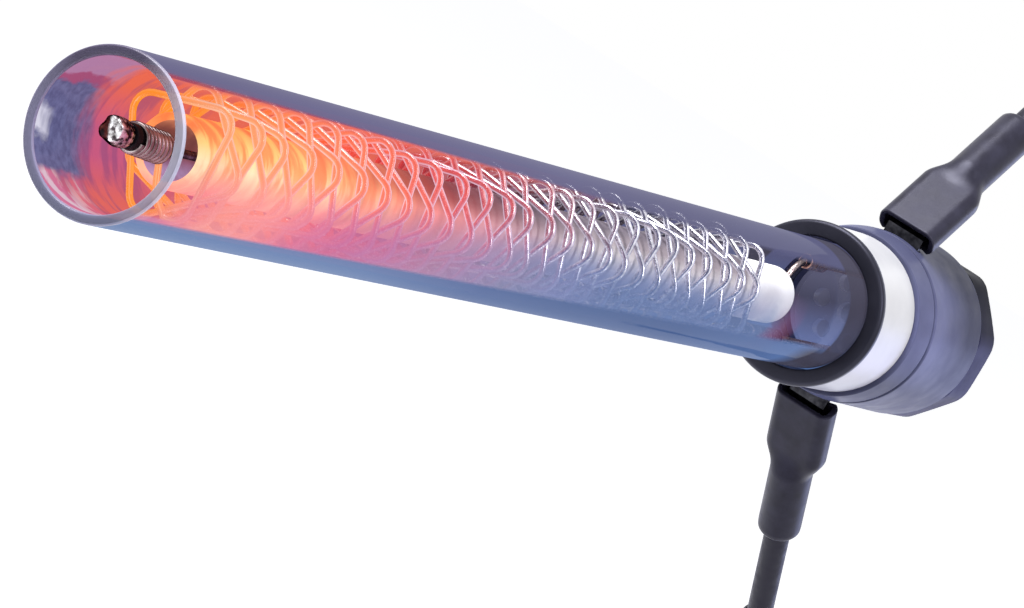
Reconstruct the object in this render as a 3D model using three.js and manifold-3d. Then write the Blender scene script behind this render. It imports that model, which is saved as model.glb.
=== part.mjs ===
// In-line electric air heater: a quartz tube round a star-wound resistance wire, held in a moulded head
// with two push-on terminals. Air enters at the head and leaves hot at the open end of the tube.
// Millimetres. The origin is the centre of the air-inlet face, +X runs along the heater to the nozzle
// and +Z points at the upper terminal.

import * as THREE from 'three';
import { mergeVertices } from 'three/addons/utils/BufferGeometryUtils.js';
import Module from 'manifold-3d';

const wasm = await Module();
wasm.setup();

// Clearances
const seatGap = 0.3;            // between pieces that seat in or on each other
const cutMargin = 1;            // how far a cutting shape runs past what it cuts

// Head, from the inlet face forward
const octagonRadius = 14.2;     // to the sharp corners of the eight-sided spanner section
const octagonLength = 7.5;
const octagonChamfer = 0.7;
const octagonCorners = [28, 70]; // degrees from +Z; the flats under the terminals are the wide ones
const octagonRounding = 1.6;    // length cut from each side at a corner
const rimRadius = 13.85;        // rear end of the round body, which flares a little
const bodyRadius = 13.45;       // front end of the round body
const bodyLength = 21;
const bodyEdge = 0.5;
const grooveWidth = 0.8;        // parting groove between body and collar
const shoulderRadius = 13.4;
const shoulderLength = 5.2;
const shoulderStep = 12.75;     // radius of the shoulder where it meets the label
const labelRadius = 12.1;       // outside of the label band
const labelThickness = 0.3;
const labelWidth = 14;
const lipRadius = 12.3;
const lipLength = 1.4;
const lipChamfer = 0.4;

// Inside of the head
const insertRadius = 6.1;       // brass inlet insert
const insertBore = 4.6;
const insertLength = 10.5;
const insertKnurlDepth = 0.35;
const insertKnurlLength = 2.2;
const spigotRadius = 10.5;      // body spigot that enters the collar
const spigotLength = 3;
const cavityRadius = 8.6;
const cavityStep = 0.6;         // shoulder that stops the wire guide
const guideSetback = 0.3;       // guide shoulder, behind the body's front edge
const cavityFloor = 1;          // wall between the insert's end and the wiring space
const guideThickness = 2;
const guideHoles = 6;
const guideHoleRadius = 1.4;
const guideHoleCircle = 4.6;
const guideCentreHole = 1.6;
const gasketThickness = 2;
const gasketLip = 1.1;          // how far the gasket stands in from the tube's outside
const collarWeb = 3;            // wall between the gasket and the body's spigot

// Quartz tube
const tubeRadius = 9.5;
const tubeWall = 1.2;
const tubeExposed = 215.3;      // from the collar's face to the open end
const tubeSeat = 12.5;          // length held in the collar
const tubeEdge = 0.25;          // fire-polished edges

// Heating core and element
const coreRadius = 4.2;
const coreBore = 3.3;
const coreSetback = 15;         // core's front end, behind the nozzle
const coreStandoff = 15.3;     // from the collar's face to the core's rear end
const wireRadius = 0.4;
const starPoints = 7;           // corners in one closed star
const starStep = 2;             // star points passed from one corner to the next
const cornerDrift = -0.8;       // degrees added to each corner's turn, so that the stars creep round
const starRadius = 7.5;         // wire centre at the corners
const cornerRadius = 1;
const starPitch = 6.4;          // along the axis, from one star to the next
const windingSetback = 14.4;    // first corner, behind the nozzle
const windingStandoff = 18.4;  // core left bare behind the last star
const wireSides = 5;
const tailRadius = 6.2;         // where the wires run past the end of the core
const tailDrop = 7;             // length in which the last corner comes in to the tail

// Centre conductor
const rodRadius = 0.5;
const beadRadius = 1.9;
const beadSetback = 2.9;        // bead centre, behind the nozzle
const wrapRadius = 1.85;
const wrapRibs = 8;
const wrapPitch = 0.85;
const wrapGroove = 0.35;
const wrapTip = 1.2;            // plain length between the bead and the ribs
const wrapNeck = 0.5;           // plain length behind the ribs
const rodStraightPast = 1;      // straight length behind the core before the bend
const rodRiseLength = 6;        // length in which the rod climbs to the ferrule
const ferruleLength = 7;
const ferruleRadius = 1.1;
const tailFerruleLength = 12;
const tailFerruleRadius = 1.25;
const feedRadius = 0.45;

// Terminals: quarter-inch blades that lean back towards the inlet
const bladeWidth = 6.35;
const bladeThickness = 0.8;
const bladeLength = 8;
const bladeTip = 1;
const bladeSetback = 2.7;       // behind the body's front edge
const bladeStandoff = 1.2;      // bend, outside the body
const bladeInner = 6.3;         // inner end of the blade, from the axis
const upperLean = 46;           // degrees back from straight out
const lowerLean = 42;

// Receptacle, boot and lead, measured along the blade from its bend
const receptacleStart = 1.6;
const receptacleLength = 7;
const sheet = 0.35;
const rollGap = 1.6;            // opening between the two rolled edges
const neckWidth = 2.6;
const neckLength = 5;
const barrelLength = 4.5;
const barrelWall = 0.4;
const conductorRadius = 1;
const bootStart = -0.2;         // mouth, just behind the bend
const bootWidth = 10;
const bootThickness = 4.4;
const bootFlat = 11.2;
const bootShoulder = 5;         // length in which the flat part becomes the sleeve
const bootSleeve = 13.6;
const sleeveRadius = 3.4;
const bootLip = 0.5;
const bootCorner = 1.8;
const socketCorner = 0.6;
const leadRadius = 2.05;
const leadSides = 10;
const leadStep = 10;            // length of one stretch of lead
const leadSetback = 1;          // lead insulation begins this far behind the barrel
const upperLeadLength = 30;
const lowerLeadLength = 36;
const eyeletHole = 2.65;
const eyeletRadius = 4.8;
const eyeletSheet = 0.9;
const eyeletBarrel = 1.8;
const eyeletBarrelLength = 5;
const eyeletSleeveRadius = 2.9;
const eyeletSleeveGrip = 4;     // length of the sleeve that covers the lead

// Facets
const roundSides = 40;
const smallSides = 14;
const cornerSteps = 6;

// Places worked out from the sizes
const bodyBack = octagonLength;
const bodyFront = bodyBack + bodyLength;
const collarBack = bodyFront + grooveWidth;
const shoulderFront = collarBack + shoulderLength;
const labelFront = shoulderFront + labelWidth;
const collarFront = labelFront + lipLength;
const nozzle = collarFront + tubeExposed;
const tubeBack = collarFront - tubeSeat;
const gasketFront = tubeBack - seatGap;
const gasketBack = gasketFront - gasketThickness;
const webFront = gasketBack - seatGap;
const spigotFront = bodyFront + spigotLength;
const counterboreFront = Math.max(webFront - collarWeb, spigotFront + seatGap);
const guideShoulder = bodyFront - guideSetback;
const guideBack = guideShoulder + seatGap;
const cavityBack = insertLength + seatGap + cavityFloor;
const coreFront = nozzle - coreSetback;
const coreBack = collarFront + coreStandoff;
const windingStart = nozzle - windingSetback;
const windingEnd = coreBack + windingStandoff;
const tubeBore = tubeRadius - tubeWall;
const blade = bodyFront - bladeSetback;
const labelSeat = labelRadius - labelThickness - seatGap;

// ---------------------------------------------------------------------------------------------------
// Solids

function signedVolume(geometry) {
    const at = geometry.attributes.position;
    const index = geometry.index;
    const a = new THREE.Vector3();
    const b = new THREE.Vector3();
    const c = new THREE.Vector3();
    let volume = 0;
    for (let i = 0; i < index.count; i += 3) {
        a.fromBufferAttribute(at, index.getX(i));
        b.fromBufferAttribute(at, index.getX(i + 1));
        c.fromBufferAttribute(at, index.getX(i + 2));
        volume += a.dot(b.cross(c)) / 6;
    }
    return volume;
}

// Merges a geometry's shared vertices, drops triangles that have no area, and turns its faces outwards.
function closed(geometry) {
    const bare = geometry.clone();
    bare.deleteAttribute('normal');
    bare.deleteAttribute('uv');
    const merged = mergeVertices(bare, 1e-4);
    const kept = [];
    for (let i = 0; i < merged.index.count; i += 3) {
        const corners = [0, 1, 2].map((k) => merged.index.getX(i + k));
        if (new Set(corners).size === 3) kept.push(...corners);
    }
    merged.setIndex(kept);
    if (signedVolume(merged) < 0) merged.setIndex(kept.reverse());
    return merged;
}

function toSolid(geometry) {
    const shape = closed(geometry);
    return new wasm.Manifold(new wasm.Mesh({
        numProp: 3,
        vertProperties: new Float32Array(shape.attributes.position.array),
        triVerts: new Uint32Array(shape.index.array),
    }));
}

function toGeometry(solid) {
    const mesh = solid.getMesh();
    const geometry = new THREE.BufferGeometry();
    geometry.setAttribute('position', new THREE.Float32BufferAttribute(mesh.vertProperties, 3));
    geometry.setIndex(Array.from(mesh.triVerts));
    return geometry;
}

function join(...geometries) {
    return toGeometry(geometries.map(toSolid).reduce((whole, solid) => whole.add(solid)));
}

function cut(geometry, ...tools) {
    return toGeometry(tools.map(toSolid).reduce((whole, tool) => whole.subtract(tool), toSolid(geometry)));
}

// A solid of revolution round the X axis, from [x, radius] points. A profile off the axis closes on itself.
function revolve(profile, sides = roundSides) {
    const points = profile.map(([x, radius]) => new THREE.Vector2(radius, x));
    if (profile[0][1] > 0) points.push(points[0].clone());
    return new THREE.LatheGeometry(points, sides).rotateZ(-Math.PI / 2);
}

function disc(from, to, radius, sides = smallSides) {
    return revolve([[from, 0], [from, radius], [to, radius], [to, 0]], sides);
}

function pipe(from, to, outer, inner, sides = smallSides) {
    return revolve([[from, inner], [from, outer], [to, outer], [to, inner]], sides);
}

// Joins rings of equally many points into one skin. A hollow piece's rings run out along its outside and
// back along its bore, and a solid piece's first and last rings are closed by a fan.
function skin(rings, hollow) {
    const count = rings[0].length;
    const positions = rings.flat().flatMap((point) => point.toArray());
    const triangles = [];
    const last = hollow ? rings.length : rings.length - 1;
    for (let i = 0; i < last; i++) {
        const here = i * count;
        const next = ((i + 1) % rings.length) * count;
        for (let k = 0; k < count; k++) {
            const turn = (k + 1) % count;
            triangles.push(here + k, next + k, next + turn, here + k, next + turn, here + turn);
        }
    }
    if (!hollow) {
        const end = (rings.length - 1) * count;
        for (let k = 1; k < count - 1; k++) {
            triangles.push(0, k, k + 1, end, end + k + 1, end + k);
        }
    }
    const geometry = new THREE.BufferGeometry();
    geometry.setAttribute('position', new THREE.Float32BufferAttribute(positions, 3));
    geometry.setIndex(triangles);
    return geometry;
}

// A round wire through the points, its section carried along without twist.
function wire(points, radius, sides) {
    const rings = [];
    const side = new THREE.Vector3(0, 1, 0);
    for (let i = 0; i < points.length; i++) {
        const before = points[Math.max(i - 1, 0)];
        const after = points[Math.min(i + 1, points.length - 1)];
        const along = after.clone().sub(before).normalize();
        if (i === 0 && Math.abs(along.y) > 0.9) side.set(1, 0, 0);
        side.addScaledVector(along, -side.dot(along)).normalize();
        const up = along.clone().cross(side);
        const ring = [];
        for (let k = 0; k < sides; k++) {
            const angle = 2 * Math.PI * k / sides;
            ring.push(points[i].clone()
                .addScaledVector(side, radius * Math.cos(angle))
                .addScaledVector(up, radius * Math.sin(angle)));
        }
        rings.push(ring);
    }
    return skin(rings, false);
}

// ---------------------------------------------------------------------------------------------------
// Head

function spannerSection() {
    const [first, second] = octagonCorners;
    const degrees = [first, second, 180 - second, 180 - first];
    const corners = [...degrees, ...degrees.map((angle) => angle + 180)].map((angle) => new THREE.Vector2(
        octagonRadius * Math.sin(THREE.MathUtils.degToRad(angle)),
        octagonRadius * Math.cos(THREE.MathUtils.degToRad(angle))));
    const towards = (from, to) => to.clone().sub(from).setLength(octagonRounding).add(from);
    const shape = new THREE.Shape();
    corners.forEach((corner, i) => {
        const before = towards(corner, corners[(i + 7) % 8]);
        const after = towards(corner, corners[(i + 1) % 8]);
        if (i === 0) shape.moveTo(before.x, before.y);
        else shape.lineTo(before.x, before.y);
        shape.quadraticCurveTo(corner.x, corner.y, after.x, after.y);
    });
    const block = new THREE.ExtrudeGeometry(shape, {
        depth: octagonLength + bodyEdge, bevelEnabled: false, curveSegments: 4,
    }).rotateX(Math.PI / 2).rotateZ(Math.PI / 2);
    const nutChamfer = revolve([
        [0, 0],
        [0, octagonRadius - 2 * octagonChamfer],
        [octagonChamfer, octagonRadius],
        [octagonLength + bodyEdge, octagonRadius + cutMargin],
        [octagonLength + bodyEdge, 0],
    ]);
    return toGeometry(toSolid(block).intersect(toSolid(nutChamfer)));
}

function rearBody() {
    const round = revolve([
        [octagonLength - cutMargin, 0],
        [octagonLength - cutMargin, bodyRadius - bodyEdge],
        [bodyBack, rimRadius - bodyEdge],
        [bodyBack + bodyEdge, rimRadius],
        [bodyFront - bodyEdge, bodyRadius],
        [bodyFront, bodyRadius - bodyEdge],
        [bodyFront, spigotRadius],
        [spigotFront - bodyEdge, spigotRadius],
        [spigotFront, spigotRadius - bodyEdge],
        [spigotFront, 0],
    ]);
    const inletBore = disc(-cutMargin, insertLength + seatGap, insertRadius + seatGap, roundSides);
    const airWay = disc(insertLength, cavityBack + cutMargin, insertBore, roundSides);
    const cavity = revolve([
        [cavityBack, 0],
        [cavityBack, cavityRadius - cavityStep],
        [guideShoulder, cavityRadius - cavityStep],
        [guideShoulder, cavityRadius],
        [spigotFront + cutMargin, cavityRadius],
        [spigotFront + cutMargin, 0],
    ]);
    const slotHeight = 2 * (rimRadius + cutMargin);
    const slots = new THREE.BoxGeometry(
        bladeThickness + 2 * seatGap, bladeWidth + 2 * seatGap, slotHeight).translate(blade, 0, 0);
    return cut(join(spannerSection(), round), inletBore, airWay, cavity, slots);
}

function frontCollar() {
    return revolve([
        [collarBack, spigotRadius + seatGap],
        [collarBack, shoulderRadius - bodyEdge],
        [collarBack + bodyEdge, shoulderRadius],
        [shoulderFront, shoulderStep],
        [shoulderFront, labelSeat],
        [labelFront, labelSeat],
        [labelFront, lipRadius],
        [collarFront - lipChamfer, lipRadius],
        [collarFront, lipRadius - lipChamfer],
        [collarFront, tubeRadius + seatGap],
        [webFront, tubeRadius + seatGap],
        [webFront, tubeRadius - gasketLip],
        [counterboreFront, tubeRadius - gasketLip],
        [counterboreFront, spigotRadius + seatGap],
    ]);
}

function labelBand() {
    return pipe(shoulderFront + seatGap, labelFront - seatGap, labelRadius, labelSeat + seatGap, roundSides);
}

function tubeGasket() {
    return pipe(gasketBack, gasketFront, tubeRadius, tubeRadius - gasketLip, roundSides);
}

function inletInsert() {
    const valley = insertRadius - insertKnurlDepth;
    return revolve([
        [0, insertBore],
        [0, insertRadius],
        [insertKnurlLength, insertRadius],
        [insertKnurlLength + insertKnurlDepth, valley],
        [insertLength - insertKnurlLength - insertKnurlDepth, valley],
        [insertLength - insertKnurlLength, insertRadius],
        [insertLength, insertRadius],
        [insertLength, insertBore],
    ]);
}

// Moulded disc that keeps the two feed wires apart and lets the air past.
function wireGuide() {
    const front = guideBack + guideThickness;
    const plate = disc(guideBack, front, cavityRadius - seatGap, roundSides);
    const holes = [disc(guideBack - cutMargin, front + cutMargin, guideCentreHole)];
    for (let i = 0; i < guideHoles; i++) {
        const angle = 2 * Math.PI * i / guideHoles;
        holes.push(disc(guideBack - cutMargin, front + cutMargin, guideHoleRadius)
            .translate(0, guideHoleCircle * Math.cos(angle), guideHoleCircle * Math.sin(angle)));
    }
    for (const side of [1, -1]) {
        holes.push(disc(guideBack - cutMargin, front + cutMargin, feedRadius + seatGap)
            .translate(0, 0, side * tailRadius));
    }
    return cut(plate, ...holes);
}

// ---------------------------------------------------------------------------------------------------
// Quartz tube, core and element

function glassTube() {
    return revolve([
        [tubeBack, tubeBore + tubeEdge],
        [tubeBack, tubeRadius - tubeEdge],
        [tubeBack + tubeEdge, tubeRadius],
        [nozzle - tubeEdge, tubeRadius],
        [nozzle, tubeRadius - tubeEdge],
        [nozzle, tubeBore + tubeEdge],
        [nozzle - tubeEdge, tubeBore],
        [tubeBack + tubeEdge, tubeBore],
    ]);
}

function ceramicCore() {
    return pipe(coreBack, coreFront, coreRadius, coreBore, roundSides);
}

function aroundAxis(x, radius, angle) {
    return new THREE.Vector3(x, radius * Math.cos(angle), radius * Math.sin(angle));
}

// The wire runs straight from corner to corner of a seven-pointed star that moves back along the axis and
// creeps round it. It starts at the centre rod, and its last corner lies under the axis, where the tail leaves it.
function elementPoints() {
    const cornerTurn = 2 * Math.PI * starStep / starPoints + THREE.MathUtils.degToRad(cornerDrift);
    const advance = starPitch / starPoints;
    const corners = Math.round((windingStart - windingEnd) / advance);
    const bend = starRadius - cornerRadius;
    const first = -Math.PI / 2 - corners * cornerTurn;
    const spoke = (wrapBack() + coreFront) / 2;
    const points = [
        aroundAxis(spoke, rodRadius + seatGap + wireRadius, first - cornerTurn / 2),
        aroundAxis((2 * spoke + windingStart) / 3, starRadius - 3 * cornerRadius, first - cornerTurn / 4),
    ];
    for (let i = 0; i <= corners; i++) {
        const angle = first + i * cornerTurn;
        const centre = aroundAxis(windingStart - i * advance, bend, angle);
        const steps = i === corners ? [-0.5, 0] : [-0.5, 0, 0.5];
        for (const step of steps) {
            const out = aroundAxis(0, cornerRadius, angle + step * cornerTurn);
            points.push(centre.clone().add(out).setX(centre.x - step * advance * 0.2));
        }
    }
    const inward = starRadius - tailRadius;
    for (const [back, share] of [[0.25, 0.1], [0.6, 0.7], [1, 1]]) {
        points.push(new THREE.Vector3(windingEnd - back * tailDrop, 0, -(starRadius - inward * share)));
    }
    points.push(new THREE.Vector3(coreBack - seatGap - tailFerruleLength / 3, 0, -tailRadius));
    return points;
}

// Least distance between two stretches of the wire that are not neighbours, less its thickness.
function leastSelfGap(points, neighbours) {
    let least = Infinity;
    const samples = [];
    for (let i = 0; i + 1 < points.length; i++) {
        const pieces = Math.max(1, Math.ceil(points[i].distanceTo(points[i + 1]) / wireRadius));
        for (let k = 0; k < pieces; k++) {
            samples.push(points[i].clone().lerp(points[i + 1], k / pieces));
        }
    }
    const reach = Math.ceil(neighbours / wireRadius);
    for (let i = 0; i < samples.length; i++) {
        const limit = Math.min(samples.length, i + reach * 6);
        for (let k = i + reach; k < limit; k++) {
            least = Math.min(least, samples[i].distanceTo(samples[k]));
        }
    }
    return least - 2 * wireRadius;
}

function heatingElement() {
    const points = elementPoints();
    const gap = leastSelfGap(points, 4 * starRadius / 3);
    console.log(`heating element: ${points.length} points, least gap to itself ${gap.toFixed(2)} mm`);
    return wire(points, wireRadius, wireSides);
}

function centerRod() {
    const front = nozzle - beadSetback - beadRadius - seatGap;
    const bend = coreBack - rodStraightPast;
    const level = bend - rodRiseLength;
    const path = new THREE.CatmullRomCurve3([
        new THREE.Vector3(front, 0, 0),
        new THREE.Vector3((front + bend) / 2, 0, 0),
        new THREE.Vector3(bend + 2 * rodRadius, 0, 0),
        new THREE.Vector3(bend, 0, 0.05 * tailRadius),
        new THREE.Vector3(bend - 0.3 * rodRiseLength, 0, 0.35 * tailRadius),
        new THREE.Vector3(bend - 0.6 * rodRiseLength, 0, 0.8 * tailRadius),
        new THREE.Vector3(level, 0, tailRadius),
        new THREE.Vector3(level - ferruleLength / 3, 0, tailRadius),
    ], false, 'catmullrom', 0.3);
    const points = [];
    const last = path.points.length - 1;
    for (let i = 0; i <= last; i++) {
        const pieces = i < 2 || i === last ? 1 : 2;
        for (let k = 0; k < pieces; k++) points.push(path.getPoint((i + k / pieces) / last));
    }
    return wire(points, rodRadius, smallSides - 4);
}

function wrapBack() {
    return nozzle - beadSetback - beadRadius - seatGap - wrapTip - wrapRibs * wrapPitch - wrapNeck;
}

// The close-wound wire end on the rod: touching turns, drawn as ribs.
function rodWrap() {
    const back = wrapBack();
    const profile = [[back, rodRadius + seatGap], [back, wrapRadius - wrapGroove]];
    for (let i = 0; i < wrapRibs; i++) {
        const rib = back + wrapNeck + i * wrapPitch;
        profile.push([rib, wrapRadius - wrapGroove]);
        profile.push([rib + 0.3 * wrapPitch, wrapRadius]);
        profile.push([rib + 0.7 * wrapPitch, wrapRadius]);
    }
    const front = back + wrapNeck + wrapRibs * wrapPitch + wrapTip;
    profile.push([front - wrapTip, wrapRadius - wrapGroove]);
    profile.push([front, wrapRadius - wrapGroove]);
    profile.push([front, rodRadius + seatGap]);
    return revolve(profile, smallSides);
}

function weldBead() {
    return new THREE.SphereGeometry(beadRadius, smallSides, 10)
        .rotateZ(Math.PI / 2)
        .translate(nozzle - beadSetback, 0, 0);
}

function rodFerrule() {
    const front = coreBack - rodStraightPast - rodRiseLength;
    return pipe(front - ferruleLength, front, ferruleRadius, rodRadius + seatGap).translate(0, 0, tailRadius);
}

function tailFerrule() {
    const front = coreBack - seatGap;
    return pipe(front - tailFerruleLength, front, tailFerruleRadius, wireRadius + seatGap)
        .translate(0, 0, -tailRadius);
}

function feedWire(side) {
    const rodEnd = coreBack - rodStraightPast - rodRiseLength - ferruleLength / 3;
    const tailEnd = coreBack - seatGap - tailFerruleLength / 3;
    const front = (side > 0 ? rodEnd : tailEnd) - seatGap;
    const back = blade + bladeThickness / 2 + seatGap;
    return disc(back, front, feedRadius, smallSides - 4).translate(0, 0, side * tailRadius);
}

// ---------------------------------------------------------------------------------------------------
// Terminals. Each set is made for the upper side and turned round the X axis for the lower one.

function bendHeight() {
    return bodyRadius + bladeStandoff;
}

// Places a piece drawn along +X, with its wide side along Y, on the leaning blade.
function onBlade(geometry, lean) {
    return geometry
        .rotateY(-Math.PI / 2 - THREE.MathUtils.degToRad(lean))
        .translate(blade, 0, bendHeight());
}

function tab(lean) {
    const angle = THREE.MathUtils.degToRad(lean);
    const half = bladeThickness / 2;
    const tip = bladeLength - bladeTip;
    const miter = half * Math.tan(angle / 2);
    const bend = bendHeight();
    const out = (along, across) => [
        blade - along * Math.sin(angle) + across * Math.cos(angle),
        bend + along * Math.cos(angle) + across * Math.sin(angle),
    ];
    const outline = [
        [blade - half, bladeInner],
        [blade + half, bladeInner],
        [blade + half, bend + miter],
        out(tip, half),
        out(bladeLength, half / 3),
        out(bladeLength, -half / 3),
        out(tip, -half),
        [blade - half, bend - miter],
    ];
    const shape = new THREE.Shape(outline.map(([x, z]) => new THREE.Vector2(x, z)));
    const plain = new THREE.ExtrudeGeometry(shape, { depth: bladeWidth, bevelEnabled: false })
        .rotateX(Math.PI / 2)
        .translate(0, bladeWidth / 2, 0);
    const dimple = new THREE.CylinderGeometry(bladeThickness, bladeThickness, 4 * bladeThickness, smallSides)
        .translate(bladeLength / 2, 0, 0)
        .rotateX(Math.PI / 2);
    return cut(plain, onBlade(dimple, lean));
}

// Sheet-metal socket with rolled edges, a neck and a crimped barrel, drawn along +X.
function receptacle(lean) {
    const inner = bladeThickness / 2 + seatGap;
    const outer = inner + sheet;
    const width = bladeWidth / 2 + seatGap + sheet;
    const lip = rollGap / 2;
    const outline = [
        [-width, -outer], [width, -outer], [width, outer], [lip, outer], [lip, inner],
        [width - sheet, inner], [width - sheet, -inner], [-width + sheet, -inner],
        [-width + sheet, inner], [-lip, inner], [-lip, outer], [-width, outer],
    ];
    const shape = new THREE.Shape(outline.map(([y, z]) => new THREE.Vector2(y, z)));
    const box = new THREE.ExtrudeGeometry(shape, { depth: receptacleLength, bevelEnabled: false })
        .rotateX(Math.PI / 2)
        .rotateZ(Math.PI / 2)
        .translate(receptacleStart, 0, 0);
    const barrelStart = receptacleStart + receptacleLength + neckLength;
    const overlap = 2 * sheet;
    const neckFrom = receptacleStart + receptacleLength - overlap;
    const neckTo = barrelStart + overlap;
    const neck = new THREE.BoxGeometry(neckTo - neckFrom, neckWidth, sheet)
        .translate((neckFrom + neckTo) / 2, 0, -inner - sheet / 2);
    const bore = conductorRadius + seatGap;
    const barrel = pipe(barrelStart, barrelStart + barrelLength, bore + barrelWall, bore);
    const foot = cut(join(neck, barrel), disc(barrelStart, neckTo + cutMargin, bore));
    return onBlade(join(box, foot), lean);
}

// One ring of a rounded rectangle that turns into a circle as its corners grow.
function bootRing(along, halfWidth, halfThickness, corner) {
    const ring = [];
    for (let i = 0; i < 4; i++) {
        const y = (i === 0 || i === 3 ? 1 : -1) * (halfWidth - corner);
        const z = (i < 2 ? 1 : -1) * (halfThickness - corner);
        for (let k = 0; k < cornerSteps; k++) {
            const angle = Math.PI / 2 * (i + (k + 0.5) / cornerSteps);
            ring.push(new THREE.Vector3(along, y + corner * Math.cos(angle), z + corner * Math.sin(angle)));
        }
    }
    return ring;
}

// A ring part of the way from the flat section to the round one.
function blendedRing(along, share, flat, round) {
    const mix = (i) => flat[i] + (round - flat[i]) * share;
    return bootRing(along, mix(0), mix(1), mix(2));
}

function bootEnd() {
    return bootStart + bootFlat + bootShoulder + bootSleeve;
}

function boot(lean) {
    const outside = [bootWidth / 2, bootThickness / 2, bootCorner];
    const socketHeight = bladeThickness / 2 + 2 * seatGap + sheet;
    const socketWidth = bladeWidth / 2 + 2 * seatGap + sheet;
    const inside = [socketWidth, socketHeight, socketCorner];
    const bore = leadRadius + seatGap;
    const shoulder = bootStart + bootFlat;
    const sleeve = shoulder + bootShoulder;
    const mouth = outside.map((size) => size - bootLip / 2);
    const rings = [
        bootRing(bootStart, ...mouth),
        bootRing(bootStart + bootLip, ...outside),
    ];
    for (const [place, share] of [[0, 0], [0.3, 0.12], [0.55, 0.5], [0.8, 0.88], [1, 1]]) {
        rings.push(blendedRing(shoulder + place * bootShoulder, share, outside, sleeveRadius));
    }
    rings.push(blendedRing(bootEnd() - 2 * bootLip, 1, outside, sleeveRadius));
    rings.push(blendedRing(bootEnd() - bootLip, 1, outside, sleeveRadius - bootLip / 2));
    rings.push(blendedRing(bootEnd(), 1, outside, sleeveRadius - 1.5 * bootLip));
    rings.push(blendedRing(bootEnd(), 1, inside, bore));
    for (const [place, share] of [[0.75, 1], [0.5, 0.6], [0.2, 0]]) {
        rings.push(blendedRing(shoulder + place * bootShoulder, share, inside, bore));
    }
    rings.push(bootRing(bootStart, ...inside));
    const whole = onBlade(skin(rings, true), lean);
    return cut(whole, disc(bodyBack, bodyFront + cutMargin, bodyClearance(), roundSides));
}

// Radius that keeps the boot's mouth off the flared body behind the bend.
function bodyClearance() {
    const flare = (rimRadius - bodyRadius) / bodyLength;
    return bodyRadius + seatGap + flare * 2 * bladeSetback;
}

function barrelEnd() {
    return receptacleStart + receptacleLength + neckLength + barrelLength;
}

function conductor(lean) {
    const start = receptacleStart + receptacleLength + neckLength + 2 * sheet + seatGap;
    return onBlade(disc(start, barrelEnd() + leadSetback - seatGap, conductorRadius), lean);
}

// The lead's route, straight on along the blade's line.
function leadPoints(length) {
    const start = barrelEnd() + leadSetback;
    const steps = Math.round(length / leadStep);
    const points = [];
    for (let i = 0; i <= steps; i++) {
        const share = i / steps;
        points.push(new THREE.Vector3(start + length * share, 0, 0));
    }
    return points;
}

function lead(lean, length) {
    const section = new THREE.Shape(Array.from({ length: leadSides }, (_, i) => {
        const angle = 2 * Math.PI * i / leadSides;
        return new THREE.Vector2(leadRadius * Math.cos(angle), leadRadius * Math.sin(angle));
    }));
    const points = leadPoints(length);
    const path = new THREE.CatmullRomCurve3(points);
    return onBlade(new THREE.ExtrudeGeometry(section, {
        steps: points.length - 1, extrudePath: path, bevelEnabled: false,
    }), lean);
}

// Places a piece drawn along +X at the lead's far end, in line with it.
function atLeadEnd(geometry, lean, length) {
    return onBlade(geometry.translate(barrelEnd() + leadSetback + length, 0, 0), lean);
}

function eyelet(lean, length) {
    const neck = seatGap + eyeletBarrelLength;
    const centre = neck + eyeletRadius;
    const barrel = disc(seatGap, neck, eyeletBarrel);
    const tongue = new THREE.BoxGeometry(eyeletRadius + eyeletSheet, 2 * eyeletBarrel, eyeletSheet)
        .translate(neck - eyeletSheet + (eyeletRadius + eyeletSheet) / 2, 0, 0);
    const ring = new THREE.CylinderGeometry(eyeletRadius, eyeletRadius, eyeletSheet, 2 * smallSides)
        .rotateX(Math.PI / 2).translate(centre, 0, 0);
    const hole = new THREE.CylinderGeometry(eyeletHole, eyeletHole, 2 * eyeletSheet, 2 * smallSides)
        .rotateX(Math.PI / 2).translate(centre, 0, 0);
    return atLeadEnd(cut(join(barrel, tongue, ring), hole), lean, length);
}

function eyeletSleeve(lean, length) {
    const from = -eyeletSleeveGrip;
    const to = seatGap + eyeletBarrelLength - seatGap;
    const sleeve = pipe(from, to, eyeletSleeveRadius, leadRadius + seatGap);
    return atLeadEnd(sleeve, lean, length);
}

// ---------------------------------------------------------------------------------------------------
// Finishes

function finish(color, roughness, metalness = 0) {
    return new THREE.MeshStandardMaterial({ color, roughness, metalness });
}

const blackMoulding = finish(0x1c1b22, 0.42);
const whiteLabel = finish(0xe6e7ee, 0.5);
const greyFibre = finish(0x7d7a76, 0.9);
const brass = finish(0xb08d4a, 0.35, 1);
const whiteCeramic = finish(0xe9e6df, 0.75);
const elementWire = finish(0xc9703a, 0.4, 1);
const nickel = finish(0xb9b7ba, 0.3, 1);
const copper = finish(0xb87352, 0.35, 1);
const tinned = finish(0xbfc0c2, 0.35, 1);
const bootVinyl = finish(0x3a3846, 0.38);
const leadSilicone = finish(0x33313d, 0.5);
const sleeveVinyl = finish(0x2c2a33, 0.5);
const quartz = new THREE.MeshStandardMaterial({
    color: 0xb9c4dc, roughness: 0.05, metalness: 0, transparent: true, opacity: 0.35,
});

// ---------------------------------------------------------------------------------------------------
// Assembly

const heater = new THREE.Group();

function place(parent, name, geometry, material) {
    const mesh = new THREE.Mesh(closed(geometry), material);
    mesh.name = name;
    parent.add(mesh);
}

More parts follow.
